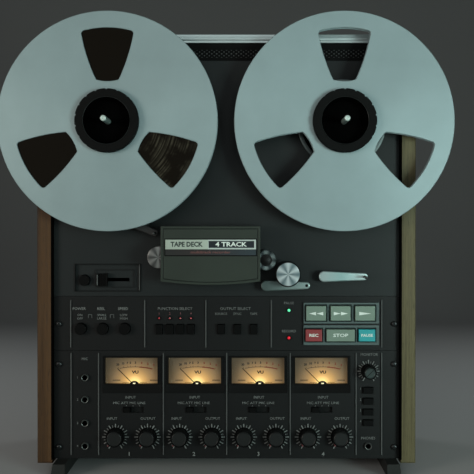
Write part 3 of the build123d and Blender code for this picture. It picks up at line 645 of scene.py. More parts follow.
def lights():
    """Low soft boxes, warm on the left and greenish on the right, and weak ones front and back."""
    aim, behind = (0.0, -0.05, 0.28), (0.0, 0.14, 0.3)
    area_light("left", (-1.6, -1.5, 0.45), aim, (0.9, 0.7), 15.5, (1.0, 0.94, 0.84))
    area_light("right", (1.05, -1.5, 0.26), aim, (0.6, 0.4), 14.0, (0.76, 1.0, 0.94))
    area_light("front", (0.0, -3.2, 1.3), aim, (2.4, 1.6), 8.0, (0.92, 1.0, 1.0))
    for side in (-1, 1):
        area_light("rear", (side * 1.2, 1.0, 0.9), behind, (0.6, 0.6), 3.0, (0.95, 1.0, 1.0))
    world = bpy.data.worlds.new("studio")
    world.use_nodes = True
    background = world.node_tree.nodes["Background"]
    background.inputs["Color"].default_value = (0.72, 0.80, 0.79, 1)
    background.inputs["Strength"].default_value = 0.12
    bpy.context.scene.world = world
    bpy.context.scene.view_settings.view_transform = "Standard"


# ---- Reels, spindles and adaptors ----

def coat(node, material):
    """Gives a CAD node its finish."""
    obj = frame["nodes"][node]
    obj.data.materials.clear()
    obj.data.materials.append(material)


def reel_pieces():
    for side in ("supply", "takeup"):
        x, z = centre(f"{side}_reel")
        metal = turned(f"{side}_reel_metal", x, z, REEL_COLOUR, 0.5, anisotropy=0.25,
                       rings=1800, depth=0.006, metallic=0.4, variation=0.05)
        coat(f"{side}_reel", metal)
    coat("supply_tape_pack", TAPE)


NOTCHES, NOTCH_STEPS = 18, 24


def adaptor_rim(x, z, radius, cut=1.2):
    """Outline of the adaptor's rim with its small evenly spaced notches."""
    depths = {0: 1.0, 1: 0.86, 2: 0.3}
    points = []
    for i in range(NOTCHES * NOTCH_STEPS):
        phase = i % NOTCH_STEPS
        depth = cut * depths.get(min(phase, NOTCH_STEPS - phase), 0)
        angle = 2 * math.pi * (i / NOTCH_STEPS + 0.5) / NOTCHES
        points.append((x + (radius - depth) * math.cos(angle),
                       z + (radius - depth) * math.sin(angle)))
    return points


def spindle_pieces():
    """Turntable, notched hub adaptor with its dished middle in painted shade, and the spindle with
    a painted highlight on its tip.
    """
    rim, recess, floor_r = 38.5, 27.9, 25.0
    for side in ("supply", "takeup"):
        body = f"{side}_side"
        x, z = centre(f"{side}_spindle")
        reel_back, reel_front = high(f"{side}_reel")[1], low(f"{side}_reel")[1]
        tip = front(f"{side}_spindle")
        face, floor = reel_front + 8.8, reel_front - 8.0
        back, lip = adaptor_rim(x, z, rim), adaptor_rim(x, z, rim - 0.8, 1.0)
        inner = adaptor_rim(x, z, recess + 1.2, 0)
        cap = ring_prism(back, inner, reel_front + 0.05, face - 0.8)
        bevel = ring_between(back, face - 0.8, lip, face)
        top = ring_prism(lip, inner, face - 0.9, face)
        dish = lathe(x, z, [(recess + 1.4, face - 0.1), (recess + 0.7, face - 0.1),
                            (recess, face - 0.8), (floor_r + 1.5, floor + 2.0),
                            (floor_r, floor), (3.5, floor), (3.5, floor - 0.8),
                            (recess + 1.4, floor - 0.8)], 96)
        plug = lathe(x, z, [(37.9, reel_back), (37.9, reel_front + 0.1),
                            (recess + 1.4, reel_front), (recess + 1.4, reel_back)], 96)
        piece(f"{side}_hub_adaptor", [cap, bevel, top, plug], SOFT_BLACK, body)
        # Painted shade: the dished middle gets a deeper black than the rim of the same adaptor.
        piece(f"{side}_adaptor_dish", [dish], DEEP_BLACK, body)
        ring = lathe(x, z, [(recess + 1.0, face - 0.15), (recess + 0.8, face + 0.1),
                            (recess + 0.35, face - 0.25)], 96)
        piece(f"{side}_adaptor_edge", [ring], ADAPTOR_EDGE, body)
        table = lathe(x, z, [(3.6, 10), (44, 10), (46, 11.5), (46, 22), (45, 22.6), (45, 24.9),
                             (3.6, 24.9)], 96)
        piece(f"{side}_turntable", [table], BLACK_PLASTIC, body)
        steel = turned(f"{side}_spindle_steel", x, z, (0.26, 0.34, 0.32), 0.35, anisotropy=0.3,
                       rings=3000, depth=0.004, metallic=0.3)
        shaft = lathe(x, z, [(3.5, tip - 1.2), (3.5, 30), (3.3, 30), (3.3, -78), (0, -78)], 48)
        shown = piece(f"{side}_spindle_shaft", [shaft], steel, body)
        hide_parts(f"{side}_spindle")
        # Painted highlight: the spindle's tip gets a much brighter copy of its steel.
        painted_lit = turned(f"{side}_spindle_end_painted_highlight", x, z, (0.62, 0.72, 0.68), 0.5, anisotropy=0.3,
                        rings=3000, depth=0.004, metallic=0.5)
        end = lathe(x, z, [(0, tip - 0.5), (0.9, tip - 0.4), (1.3, tip - 0.05), (2.4, tip),
                           (3.2, tip - 0.5), (3.5, tip - 1.25)], 48)
        piece(f"{side}_spindle_tip", [end], painted_lit, body)
        trim = turned(f"{side}_trim_metal", x, z, (0.16, 0.19, 0.19), 0.35, rings=3000,
                      depth=0.004)
        ring = lathe(x, z, [(50.4, 0.4), (50.4, 1.9), (51.0, 2.12), (54.4, 2.12), (55.1, 1.6),
                            (55.1, 0.1)], 128)
        piece(f"{side}_reel_trim", [ring], trim, ROOT)
        well = lathe(x, z, [(4.2, 0.1), (50.3, 0.1), (50.3, 0.05)], 96)
        piece(f"{side}_reel_well", [well], DEEP_BLACK, ROOT)


# ---- Rollers, capstan and arms ----

def hull_link(start, end, start_r, end_r, steps=14):
    """Outline of a lever with two round ends, anticlockwise."""
    dx, dz = end[0] - start[0], end[1] - start[1]
    heading = math.degrees(math.atan2(dz, dx))
    lean = math.degrees(math.acos((start_r - end_r) / math.hypot(dx, dz)))
    points = []
    ends = ((end, end_r, -lean, lean), (start, start_r, lean, 360 - lean))
    for (cx, cz), radius, a, b in ends:
        for i in range(steps + 1):
            angle = math.radians(heading + a + (b - a) * i / steps)
            points.append((cx + radius * math.cos(angle), cz + radius * math.sin(angle)))
    return points


def joint_place(name):
    """Where a hinge is, as x and z in millimetres."""
    joint = next(j for j in frame["joints"] if j["name"] == name)
    return joint["pos_m"][0] / MM, joint["pos_m"][2] / MM


LEVER_PIVOT_R, LEVER_TIP_R = 6.8, 4.4
LEVER_SHAFT = [(3, 8), (3, -20), (0, -20)]


def lever_piece(name, pivot, tip, material, body, extra=()):
    """Cast lever with a wide round boss at its pivot and a narrow tip, edges well rounded."""
    outline = hull_link(pivot, tip, LEVER_PIVOT_R, LEVER_TIP_R)
    shapes = [prism(outline, 8.0, 14.0), *extra, lathe(*pivot, LEVER_SHAFT, 32)]
    return piece(name, shapes, material, body, bevel=1.7)


def pinch_pieces():
    pivot, centre_at = joint_place("pinch_arm_swing"), joint_place("pinch_roller_spin")
    tip = (high("pinch_arm")[0] - LEVER_TIP_R, 233.0)
    foot = (pivot[0] + 22, pivot[1] + 1)
    lobe = prism(hull_link(foot, centre_at, LEVER_TIP_R, LEVER_TIP_R - 0.01), 8.2, 13.8)
    axle = lathe(*centre_at, [(0, 29), (2.5, 29), (2.5, 13)], 32)
    # Painted light: the lever's colour brightens from its pivot towards its tip, standing in for
    # the light that falls more strongly there.
    metal = across("pinch_lever_metal", pivot[0], tip[0],
                   ((0.0, (0.085, 0.115, 0.11)), (0.35, (0.14, 0.19, 0.185)),
                     (1.0, (0.34, 0.43, 0.42))), 0.36, 0.6)
    arm = lever_piece("pinch_lever", pivot, tip, metal, "pinch_arm", [lobe, axle])
    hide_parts("pinch_arm")
    # Painted shade: a black disc on the lever's face stands in for the shade inside the hole at
    # its tip.
    hole = lathe(*tip, [(0, 14.05), (1.8, 14.05), (1.8, 13.5), (0, 13.5)], 32)
    piece("pinch_lever_hole", [hole], DEEP_BLACK, "pinch_arm")
    tyre = lathe(*centre_at, [(2.6, 14.5), (14.9, 14.5), (15.4, 15.2), (15.4, 32.2),
                              (14.8, 33.2), (14.1, 33.4), (2.6, 33.4)], 96)
    shown = piece("pinch_tyre", [tyre], RUBBER, "pinch_roller")
    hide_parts("pinch_roller")
    spun = sunburst("pinch_cap_metal", *centre_at, (0.12, 0.18, 0.20), (0.62, 0.68, 0.70))
    cap = lathe(*centre_at, [(0, 33.7), (1.2, 33.75), (12.8, 34.0), (13.7, 33.9), (14.2, 33.4),
                             (14.2, 33.0)], 96)
    piece("pinch_cap", [cap], spun, "pinch_roller")


def tension_arm_pieces():
    """Two thin levers, each with a polished post that the tape runs round."""
    for side, painted_lit in (("supply", False), ("takeup", True)):
        node = f"{side}_tension_arm"
        pivot = joint_place(f"{side}_tension_swing")
        tip_z = pivot[1] - 0.2 if painted_lit else low(node)[2] + LEVER_TIP_R
        tip = (high(node)[0] - LEVER_TIP_R, tip_z)
        # Painted light and shade: the supply lever keeps the dark finish as a shaded copy, and the
        # takeup lever gets a colour that brightens towards its tip.
        metal = DARK_LEVER
        if painted_lit:
            metal = across("takeup_lever_metal", pivot[0], tip[0],
                           ((0.0, (0.42, 0.50, 0.50)), (0.5, (0.32, 0.49, 0.49)),
                            (1.0, (0.62, 0.78, 0.78))), 0.36, 0.6)
        arm = lever_piece(f"{side}_lever", pivot, tip, metal, node)
        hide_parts(node)
        post = lathe(*tip, [(1.8, 13), (1.8, 33.0), (1.4, 33.7), (0.8, 34), (0, 34)], 40)
        piece(f"{side}_post", [post], DARK_LEVER, node)


def roller_pieces():
    x, z = joint_place("guide_roller_spin")
    spun = sunburst("guide_cap_metal", x, z, (0.045, 0.045, 0.045), (0.22, 0.215, 0.21))
    shape = lathe(x, z, [(0, 33.6), (1.5, 33.7), (11.6, 34), (12.9, 33.6), (13.3, 32.8),
                         (13.3, 31.5), (12.2, 30.8), (12.2, 24.5), (13.3, 24), (13.3, 5),
                         (12.6, 4), (2.6, 4)], 96)
    shown = piece("guide_drum", [shape], spun, "guide_roller")
    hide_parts("guide_roller")
    x, z = joint_place("capstan_spin")
    chrome = sunburst("capstan_metal", x, z, (0.04, 0.055, 0.058), (0.30, 0.37, 0.37),
                      roughness=0.25, metallic=0.7)
    shape = lathe(x, z, [(0, 30.2), (7.1, 30.2), (7.1, 31.2), (7.6, 31.9), (11.0, 32),
                         (12.0, 31.4), (12.3, 30.4), (12.3, 2), (4, 2), (4, -22), (44, -22),
                         (44, -40), (4, -40), (4, -54), (0, -54)], 96)
    shown = piece("capstan_drum", [shape], chrome, "capstan")
    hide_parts("capstan")
    core = lathe(x, z, [(0, 31.5), (3.6, 31.5), (4.6, 31.0), (7.05, 31.0), (7.05, 30.2)], 64)
    piece("capstan_core", [core], BLACK_PLASTIC, "capstan")


# ---- Head cover ----

def cover_outline(inset, steps=20):
    """Outline of the head cover inset by a margin; the bottom edge is an arc."""
    left, top = low("head_cover")[0] + inset, high("head_cover")[2] - inset
    right, belly = high("head_cover")[0] - inset, low("head_cover")[2] + inset
    corner = belly + 4.3
    half, sag = (right - left) / 2, corner - belly
    radius = (half ** 2 + sag ** 2) / (2 * sag)
    spread_angle = math.asin(half / radius)
    mid = (left + right) / 2
    points = []
    for i in range(steps + 1):
        angle = -spread_angle + 2 * spread_angle * i / steps
        points.append((mid + radius * math.sin(angle), belly + radius * (1 - math.cos(angle))))
    return points + [(right, top), (left, top)]


def head_cover_pieces():
    """Cover with a raised border, a groove inside it, and a two-part nameplate."""
    coat("head_cover", COVER_PAINT)
    face, body = front("head_cover"), "head_cover"
    border_w, groove_w, relief = 2.7, 1.0, 0.5
    border = ring_prism(cover_outline(0.1), cover_outline(border_w), face - 0.5, face + relief)
    piece("cover_border", [border], COVER_PAINT, body, bevel=0.3)
    groove = ring_prism(cover_outline(border_w - 0.1), cover_outline(border_w + groove_w + 0.1),
                        face - 0.5, face + 0.05)
    piece("cover_groove", [groove], COVER_GROOVE_PAINTED_SHADE, body)
    panel = prism(cover_outline(border_w + groove_w), face - 0.5, face + relief)
    piece("cover_inset", [panel], COVER_PAINT, body, bevel=0.3)
    nameplate(face + relief)


def nameplate(face):
    left, right, top, bottom, split, step = -72.9, 36.3, 290.1, 271.4, 278.4, -21.5
    body, upper, lower = "head_cover", face + 0.7, face + 0.5
    margin = 1.3
    recess = prism(rect(left - margin, right + margin, bottom - margin, top + margin),
                   face - 0.2, face + 0.15)
    piece("nameplate_recess", [recess], SOFT_BLACK, body)
    piece("nameplate_light", [prism(rect(left, step, split, top), face, upper)], PLATE_LIGHT,
          body, bevel=0.2)
    block = rect(step + 0.7, right - 2.2, split + 1.8, top - 1.6)
    line = ring_prism(rect(step, right, split, top), block, face, upper)
    piece("nameplate_border", [line], PLATE_LINE, body)
    piece("nameplate_dark", [prism(block, face, lower)], PLATE_DARK, body)
    band = across("plate_band", left, right,
                  ((0.0, (0.018, 0.020, 0.019)), (0.45, (0.030, 0.022, 0.022)),
                   (1.0, (0.030, 0.045, 0.055))), 0.38, 0.2)
    piece("nameplate_band", [prism(rect(left, right, bottom, split - 0.4), face, lower)], band,
          body)
    title = text("TAPE DECK", (left + step) / 2, (split + top) / 2, upper, 5.6, 39, 0.32)
    piece("nameplate_title", [title], PLATE_INK, body)
    kind = text("4 TRACK", (step + right - 2) / 2, (split + top) / 2, lower, 5.2, 38, 0.2)
    piece("nameplate_kind", [kind], KEY_MARK, body)
    note = text("multitrack recorder", (left + right) / 2, (bottom + split) / 2, lower, 3.0, 48,
                0.08)
    piece("nameplate_note", [note], PLATE_RED, body)


# ---- Upper edge: grille and trim ----

def grille_pieces():
    left, right = low("deck_plate")[0], high("deck_plate")[0]
    bottom, top = high("deck_plate")[2], 533.0
    pitch, row_pitch, hole_r, count = 6.08, 4.72, 0.8, 12
    first_row, rows = 518.1, 2
    shapes = []
    columns = int((right - left - 4) / pitch)
    start = (left + right) / 2 - columns * pitch / 2
    low_edge = first_row - row_pitch / 2
    high_edge = low_edge + row_pitch * rows
    for row in range(rows):
        z = first_row + row * row_pitch
        for i in range(columns):
            x = start + (i + 0.5) * pitch
            shapes.append(ring_prism(square_loop(x, z, pitch / 2, row_pitch / 2, count),
                                     circle(x, z, hole_r, count), -1.6, -0.8))
    for edges in (rect(left, right, bottom, low_edge), rect(left, right, high_edge, top),
                  rect(left, start, low_edge, high_edge),
                  rect(start + columns * pitch, right, low_edge, high_edge)):
        shapes.append(prism(edges, -1.6, -0.8))
    piece("top_grille", shapes, BUTTON, ROOT)
    piece("grille_backing", [prism(rect(left, right, bottom, top), -2.2, -1.65)], GRILLE_BACK,
          ROOT)


def trim_piece():
    left, right = low("deck_plate")[0], high("deck_plate")[0]
    top, bottom = high("cabinet_covers")[2] + 0.4, 533.6
    profile = [(-3, bottom), (0.8, bottom), (1.2, bottom + 0.4), (1.2, bottom + 2.5),
               (0.9, bottom + 2.9), (1.2, bottom + 3.4), (1.2, top - 4.8), (0.1, top - 4.4),
               (0.1, top - 3.6), (1.2, top - 3.2), (1.2, top - 0.7), (0.5, top), (-14, top),
               (-14, top - 0.4), (-3, top - 0.4)]
    piece("top_trim", [rail(profile, left, right)], TRIM, ROOT)


# ---- Panels: legends, dividers, lamps ----

LAMP_X, PAUSE_LAMP_Z, RECORD_LAMP_Z = 77.8, 201.2, 166.9
LAMP_R, SMALL_LAMP_R, SMALL_LAMP_Z = 1.9, 1.1, 191.4
SWITCH_STEP = 8.2          # between two places of an input switch
CONTROL_LOW, CONTROL_HIGH = 155.0, 213.9     # ends of the lines that divide the control panel
METERS_LOW, METERS_HIGH = 20.9, 148.2        # and the meter panel
JACKS = [(-176.4, 117.4), (-176.4, 90.0), (-176.4, 60.6), (-176.4, 32.0), (176.6, 31.8)]


def numbered(stem, count=4):
    return [f"{stem}_{i}" for i in range(1, count + 1)]


def divider(x, z0, z1):
    return prism(rect(x - 0.65, x + 0.65, z0, z1), 0, 2 * PRINT)


def bracket(x, z, width=5.0, height=4.6, line=0.6):
    """Small printed square arch that shows a button's in and out places."""
    left, right = x - width / 2, x + width / 2
    low_z, high_z = z - height / 2, z + height / 2
    return [printed(rect(left, right, high_z - line, high_z)),
            printed(rect(left, left + line, low_z, high_z)),
            printed(rect(right - line, right, low_z, high_z))]


def control_legends():
    title, upper, lower = 203.2, 195.3, 191.0
    shapes, faint = [], []
    labels = (("power_button", "POWER", "ON", "OFF"),
              ("reel_size_button", "REEL", "SMALL", "LARGE"),
              ("speed_button", "SPEED", "LOW", "HIGH"))
    for node, name, first, second in labels:
        x = centre(node)[0] - 1.2
        shapes += [text(name, x - 0.8, title, 0, weight=0.05), text(first, x, upper, 0, cap=2.8),
                   text(second, x, lower, 0, cap=2.8)]
    first, second, third = (centre(labels[i][0])[0] for i in range(3))
    faint += bracket((first + second) / 2 - 2.2, lower + 3.0)
    faint += bracket((second + third) / 2 - 2.2, lower + 3.0)
    xs = [centre(node)[0] for node in numbered("function_button")]
    shapes.append(text("FUNCTION SELECT", sum(xs) / 4, title, 0, width=43))
    numbers = [text(str(i + 1), x, upper + 1.9, 0, cap=2.8) for i, x in enumerate(xs)]
    piece("function_numbers", numbers, LAMP_TINTED_LEGEND, ROOT)
    xs = [centre(node)[0] for node in numbered("output_button", 3)]
    shapes.append(text("OUTPUT SELECT", xs[1] - 2.4, title, 0, width=38))
    for x, name, width in zip(xs, ("SOURCE", "SYNC", "TAPE"), (15.0, None, None)):
        shapes.append(text(name, x, upper + 1.5, 0, cap=2.8, width=width))
    shapes += [text("PAUSE", LAMP_X, PAUSE_LAMP_Z + 9.0, 0, cap=3.1),
               text("RECORD", LAMP_X, RECORD_LAMP_Z + 8.3, 0, cap=3.1)]
    piece("control_legends", shapes, LEGEND, ROOT)
    piece("button_brackets", faint, FAINT_PRINT_AND_HIGHLIGHT, ROOT)
    bars = [divider(x, CONTROL_LOW, CONTROL_HIGH) for x in (-194.2, -102.0, -25.8, 55.8, 193.4)]
    piece("control_dividers", bars, DIVIDER, ROOT)


def lens(x, z, radius):
    return lathe(x, z, [(0, radius * 0.75), (radius * 0.5, radius * 0.65), (radius * 0.86, 0.5),
                        (radius, 0)], 24)


def lamp_pieces():
    xs = [centre(node)[0] for node in numbered("function_button")]
    piece("function_lamps", [lens(x, SMALL_LAMP_Z, SMALL_LAMP_R - 0.05) for x in xs],
          DIM_RED_LAMP, ROOT)
    piece("pause_lamp", [lens(LAMP_X, PAUSE_LAMP_Z, LAMP_R - 0.05)], GREEN_LAMP, ROOT)
    piece("record_lamp", [lens(LAMP_X, RECORD_LAMP_Z, LAMP_R - 0.05)], RED_LAMP, ROOT)
    holders = [(LAMP_X, PAUSE_LAMP_Z, LAMP_R), (LAMP_X, RECORD_LAMP_Z, LAMP_R)]
    holders += [(x, SMALL_LAMP_Z, SMALL_LAMP_R) for x in xs]
    rings = [lathe(x, z, [(r, 0), (r, 0.7), (r + 0.7, 0.7), (r + 1.0, 0)], 32)
             for x, z, r in holders]
    piece("lamp_rings", rings, SOFT_BLACK, ROOT)


def meter_legends():
    """Words and numbers of the lower panel; they drift a little from channel to channel."""
    shapes = [text("MIC", -176.6, 140.6, 0)]
    jacks = sorted(JACKS[:4], key=lambda place: -place[1])
    shapes += [text(str(i + 1), x - 9.4, z, 0, cap=2.8) for i, (x, z) in enumerate(jacks)]
    for i in range(1, 5):
        drift = i - 1
        x = centre("vu_meters")[0] + (i - 2.5) * METER_PITCH
        shapes += [text("INPUT", x - 1.8 + 1.5 * drift, 92.6, 0),
                   text("MIC ATT MIC LINE", x - 3.5 + 2.0 * drift, 85.6, 0, cap=3.0, width=40)]
        lever_x, lever_z = centre(f"input_switch_{i}")
        shapes += [printed(around(lever_x + SWITCH_STEP * k, lever_z + 5.3, 0.6, 1.4))
                   for k in range(3)]
        for kind, shift in (("input", -4.3), ("output", 0.6)):
            x = centre(f"{kind}_knob_{i}")[0] + shift + 0.6 * drift
            shapes.append(text(kind.upper(), x, 66.1, 0))
        middle = (centre(f"input_knob_{i}")[0] + centre(f"output_knob_{i}")[0]) / 2
        shapes.append(text(str(i), middle - 2.9 + 0.6 * drift, 21.8, 0, cap=4.8, weight=0.15))
    x = centre("monitor_knob")[0]
    shapes.append(text("MONITOR", x + 1.0, 146.0, 0))
    for i in range(1, 5):
        button_x, button_z = centre(f"monitor_button_{i}")
        shapes.append(text(str(i), button_x - 9.6, button_z + 2, 0, cap=2.8))
    shapes.append(text("PHONES", JACKS[4][0], 41.6, 0))
    piece("meter_legends", shapes, LEGEND, ROOT)
    lines = (-193.8, -159.6, -78.8, 0.2, 79.4, 161.6, 193.4)
    bars = [divider(x, METERS_LOW, METERS_HIGH) for x in lines]
    piece("meter_dividers", bars, DIVIDER, ROOT)


def knob_scale(x, z, inner, outer, count, start=240.0, sweep=300.0):
    """Ring of radial tick marks; every other tick is longer and bolder."""
    shapes = []
    for i in range(count):
        angle = math.radians(start - sweep * i / (count - 1))
        c, s = math.cos(angle), math.sin(angle)
        bold = i % 2 == 0
        half = 0.62 if bold else 0.36
        near, reach = (inner, outer) if bold else (inner + 0.3, outer - 1.5)
        corners = ((near, -half), (reach, -half), (reach, half), (near, half))
        outline = [(x + r * c - w * s, z + r * s + w * c) for r, w in corners]
        shapes.append(printed(outline))
    return shapes


POINTER_ANGLE = math.radians(228)      # where the knobs point at rest


def knob_pieces():
    """Fluted knobs with a shallow cap each, a red pointer rib on the side, and a ring of ticks."""
    scales = []
    names = numbered("input_knob") + numbered("output_knob")
    for name in names:
        x, z = centre(name)
        radius = (high(name)[0] - low(name)[0]) / 2
        scales += knob_scale(x, z - 0.6, radius + 0.4, radius + 5.1, 21)
        rib_x = x + (radius - 0.3) * math.cos(POINTER_ANGLE)
        rib_z = z + (radius - 0.3) * math.sin(POINTER_ANGLE)
        rib = lathe(rib_x, rib_z, [(0, 15.8), (0.45, 15.7), (0.75, 15.2), (0.75, 3.4)], 20)
        piece(f"{name}_pointer", [rib], RED_DOT, name)
    x, z = centre("monitor_knob")
    scales += knob_scale(x, z, 9.4, 14.0, 21)
    for name in names + ["monitor_knob"]:
        coat(name, BUTTON)
        x, z = centre(name)
        face, cap_r = front(name), (high(name)[0] - low(name)[0]) / 2 - 2.6
        cap = lathe(x, z, [(0, face + 0.05), (cap_r - 1.2, face + 0.05),
                           (cap_r - 0.6, face + 0.5), (cap_r, face + 0.1),
                           (cap_r, face - 0.5)], 48)
        material = MONITOR_FACE if name == "monitor_knob" else KNOB_FACE
        piece(f"{name}_cap", [cap], material, name)
    x, z = centre("monitor_knob")
    reach = 4.4
    line = [(x - reach, z - reach + 0.5), (x - reach + 0.5, z - reach),
            (x + reach, z + reach - 0.5), (x + reach - 0.5, z + reach)]
    face = front("monitor_knob")
    piece("monitor_knob_pointer", [prism(line, face, face + 0.2)], SOFT_BLACK, "monitor_knob")
    piece("knob_scales", scales, LEGEND, ROOT)


# ---- Meters ----

METER_PITCH = 78.5
METER_HOLE = 36.8          # half the width of a meter's hole in the panel
METER_TOP, METER_FOOT = 144.3, 97.8
DIAL_HALF, DIAL_LOW, DIAL_HIGH = 32.9, 108.6, 141.9
DIAL_AHEAD = -8.6


def meter_pieces():
    node_low, node_high = low("vu_meters"), high("vu_meters")
    mid = (node_low[0] + node_high[0]) / 2
    case_shapes, sill_shapes, window_shapes = [], [], []
    inks, reds, caps, glints = [], [], [], []
    for i in range(4):
        x = mid + (i - 1.5) * METER_PITCH
        hinge = joint_place(f"vu_needle_{i + 1}_swing")
        case_shapes.append(prism(around(x, 121.0, 2 * METER_HOLE + 4, 50), -33.5, -9.6))
        outer = rect(x - METER_HOLE + 0.1, x + METER_HOLE - 0.1, DIAL_LOW, METER_TOP - 0.1)
        window_x = x + 0.7 * (i - 1.5) - 0.3
        inner = rect(window_x - DIAL_HALF, window_x + DIAL_HALF, DIAL_LOW + 0.2, DIAL_HIGH)
        case_shapes.append(ring_prism(outer, inner, -9.6, -1.2))
        window_shapes.append(prism(inner, -2.6, -1.8))
        sill_shapes.append(sill(x))
        dial = prism(rect(x - METER_HOLE + 0.4, x + METER_HOLE - 0.4, 103.0, METER_TOP - 0.4),
                     -9.4, DIAL_AHEAD)
        piece(f"dial_{i + 1}", [dial], DIAL, ROOT,
              origin=at(hinge[0], DIAL_LOW, DIAL_AHEAD))
        ink, red = dial_marks(hinge[0])
        inks += ink
        reds += red
        cap_z = hinge[1] - 0.4
        caps.append(lathe(hinge[0], cap_z, [(0, -3.6), (5.2, -3.6), (6.4, -4.4), (6.8, -5.0),
                                            (6.8, -5.3)], 48))
        # Painted highlight: a small glowing mark on the pivot cap.
        glint = [(hinge[0] - 1.9, cap_z + 4.6), (hinge[0] + 1.9, cap_z + 4.6),
                 (hinge[0] + 0.5, cap_z + 1.2), (hinge[0] - 0.5, cap_z + 1.2)]
        glints.append(prism(glint, -4.4, -3.5))
    shown = piece("meter_cases", case_shapes, SOFT_BLACK, ROOT)
    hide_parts("vu_meters")
    piece("meter_sills", sill_shapes, SOFT_BLACK, ROOT)
    piece("meter_windows", window_shapes, WINDOW, ROOT)
    piece("dial_marks", inks, DIAL_INK, ROOT)
    piece("dial_red_marks", reds, DIAL_RED, ROOT)
    piece("meter_pivot_caps", caps, SOFT_BLACK, ROOT)
    piece("meter_pivot_glints", glints, PAINTED_PIVOT_GLINT, ROOT)


def sill(x):
    """Sloped ledge below a dial: deep at the dial, flush with the panel at its foot."""
    half, top_half = METER_HOLE - 0.1, DIAL_HALF
    corners = [(x - half, METER_FOOT + 0.1, 0), (x + half, METER_FOOT + 0.1, 0),
               (x + top_half, DIAL_LOW, -1.8), (x - top_half, DIAL_LOW, -1.8),
               (x - half, METER_FOOT + 0.1, -3), (x + half, METER_FOOT + 0.1, -3),
               (x + half, DIAL_LOW, -3), (x - half, DIAL_LOW, -3),
               (x + half, DIAL_LOW, -0.4), (x - half, DIAL_LOW, -0.4)]
    verts = [at(px, pz, ahead) for px, pz, ahead in corners]
    faces = [(0, 1, 2, 3), (1, 8, 2), (0, 3, 9), (4, 5, 1, 0), (5, 6, 8, 1), (7, 4, 0, 9),
             (4, 7, 6, 5), (9, 3, 2, 8, 6, 7)]
    return verts, faces


def dial_marks(x):
    """Scale of one dial: thin arc, red zone, ticks, figures, VU and base lines."""
    ahead = DIAL_AHEAD
    arc_r = 92.0
    cz = DIAL_HIGH - 12.5 - arc_r

    def heading(dx):
        return 90 - math.degrees(math.asin(dx / arc_r))

    inks = [arc_band(x, cz, arc_r - 0.3, arc_r + 0.3, heading(-18.7), heading(6.0), ahead)]
    reds = [arc_band(x, cz, arc_r - 0.7, arc_r + 0.7, heading(6.0), heading(22.0), ahead)]
    figures = ("20", "10", "7", "5", "3", "0", "2", "3")
    spots = (-20.0, -13.6, -8.5, -5.1, 1.0, 8.4, 15.6, 22.6)
    for figure, dx in zip(figures, spots):
        angle = math.radians(heading(dx))
        c, s = math.cos(angle), math.sin(angle)
        corners = ((arc_r, -0.2), (arc_r + 1.8, -0.2), (arc_r + 1.8, 0.2), (arc_r, 0.2))
        tick = printed([(x + r * c - w * s, cz + r * s + w * c) for r, w in corners], ahead)
        word = text(figure, x + (arc_r + 5.2) * c, cz + (arc_r + 5.2) * s, ahead, cap=2.5,
                    weight=0.2)
        (reds if dx > 6 else inks).extend([tick, word])
    inks.append(text("VU", x + 0.6, DIAL_LOW + 14.0, ahead, cap=3.5, width=8.6, weight=0.25))
    for dx in (-22.8, 23.9):
        inks.append(printed(around(x + dx, DIAL_LOW + 4.1, 9.6, 1.0), ahead))
    for dx in (-11.2, 11.2):
        reds.append(printed(around(x + dx, DIAL_LOW + 1.2, 9.0, 0.6), ahead))
    return inks, reds


# ---- Keys and buttons ----

def key_well(node, margin, outer, ahead):
    """Bezel cell about one key: outer rectangle with a hole a little larger than the key."""
    x, z = centre(node)
    width, height = key_size(node)
    return ring_prism(outer, around(x, z, width + 2 * margin, height + 2 * margin), 0, ahead)


def key_size(node):
    """Width and height of a key's cap, without the collar behind the panel."""
    collar = 2 * (0.4 + 1.0)
    a, b = low(node), high(node)
    return b[0] - a[0] - collar, b[2] - a[2] - collar


def key_pieces():
    finishes = {"rewind_key": KEY_GREY, "fast_forward_key": KEY_GREY, "play_key": KEY_GREY,
                "stop_key": KEY_GREY, "record_key": KEY_RED, "pause_key": KEY_BLUE}
    for node, material in finishes.items():
        coat(node, material)
    bezel_pieces()
    arrows = {"rewind_key": ((-4.6, -1), (4.4, -1)), "fast_forward_key": ((-4.4, 1), (4.6, 1))}
    for node, heads in arrows.items():
        x, z = centre(node)
        shapes = [arrow(x + dx, z - 0.2, way, 8.6, 4.2, front(node)) for dx, way in heads]
        piece(f"{node}_mark", shapes, KEY_MARK, node)
    x, z = centre("play_key")
    piece("play_key_mark", [arrow(x, z - 0.2, 1, 15.0, 4.2, front("play_key"))], KEY_MARK,
          "play_key")
    words = (("record_key", "REC", 3.5, 11.2), ("stop_key", "STOP", 3.9, 18.6),
             ("pause_key", "PAUSE", 3.3, 14.4))
    for node, word, cap, width in words:
        x, z = centre(node)
        piece(f"{node}_mark", [text(word, x, z, front(node), cap=cap, width=width, weight=0.12)],
              KEY_MARK, node)


def arrow(x, z, way, length, height, ahead):
    half = length / 2 * way
    points = [(x + half, z), (x - half, z + height / 2), (x - half, z - height / 2)]
    return printed(points if way > 0 else list(reversed(points)), ahead)


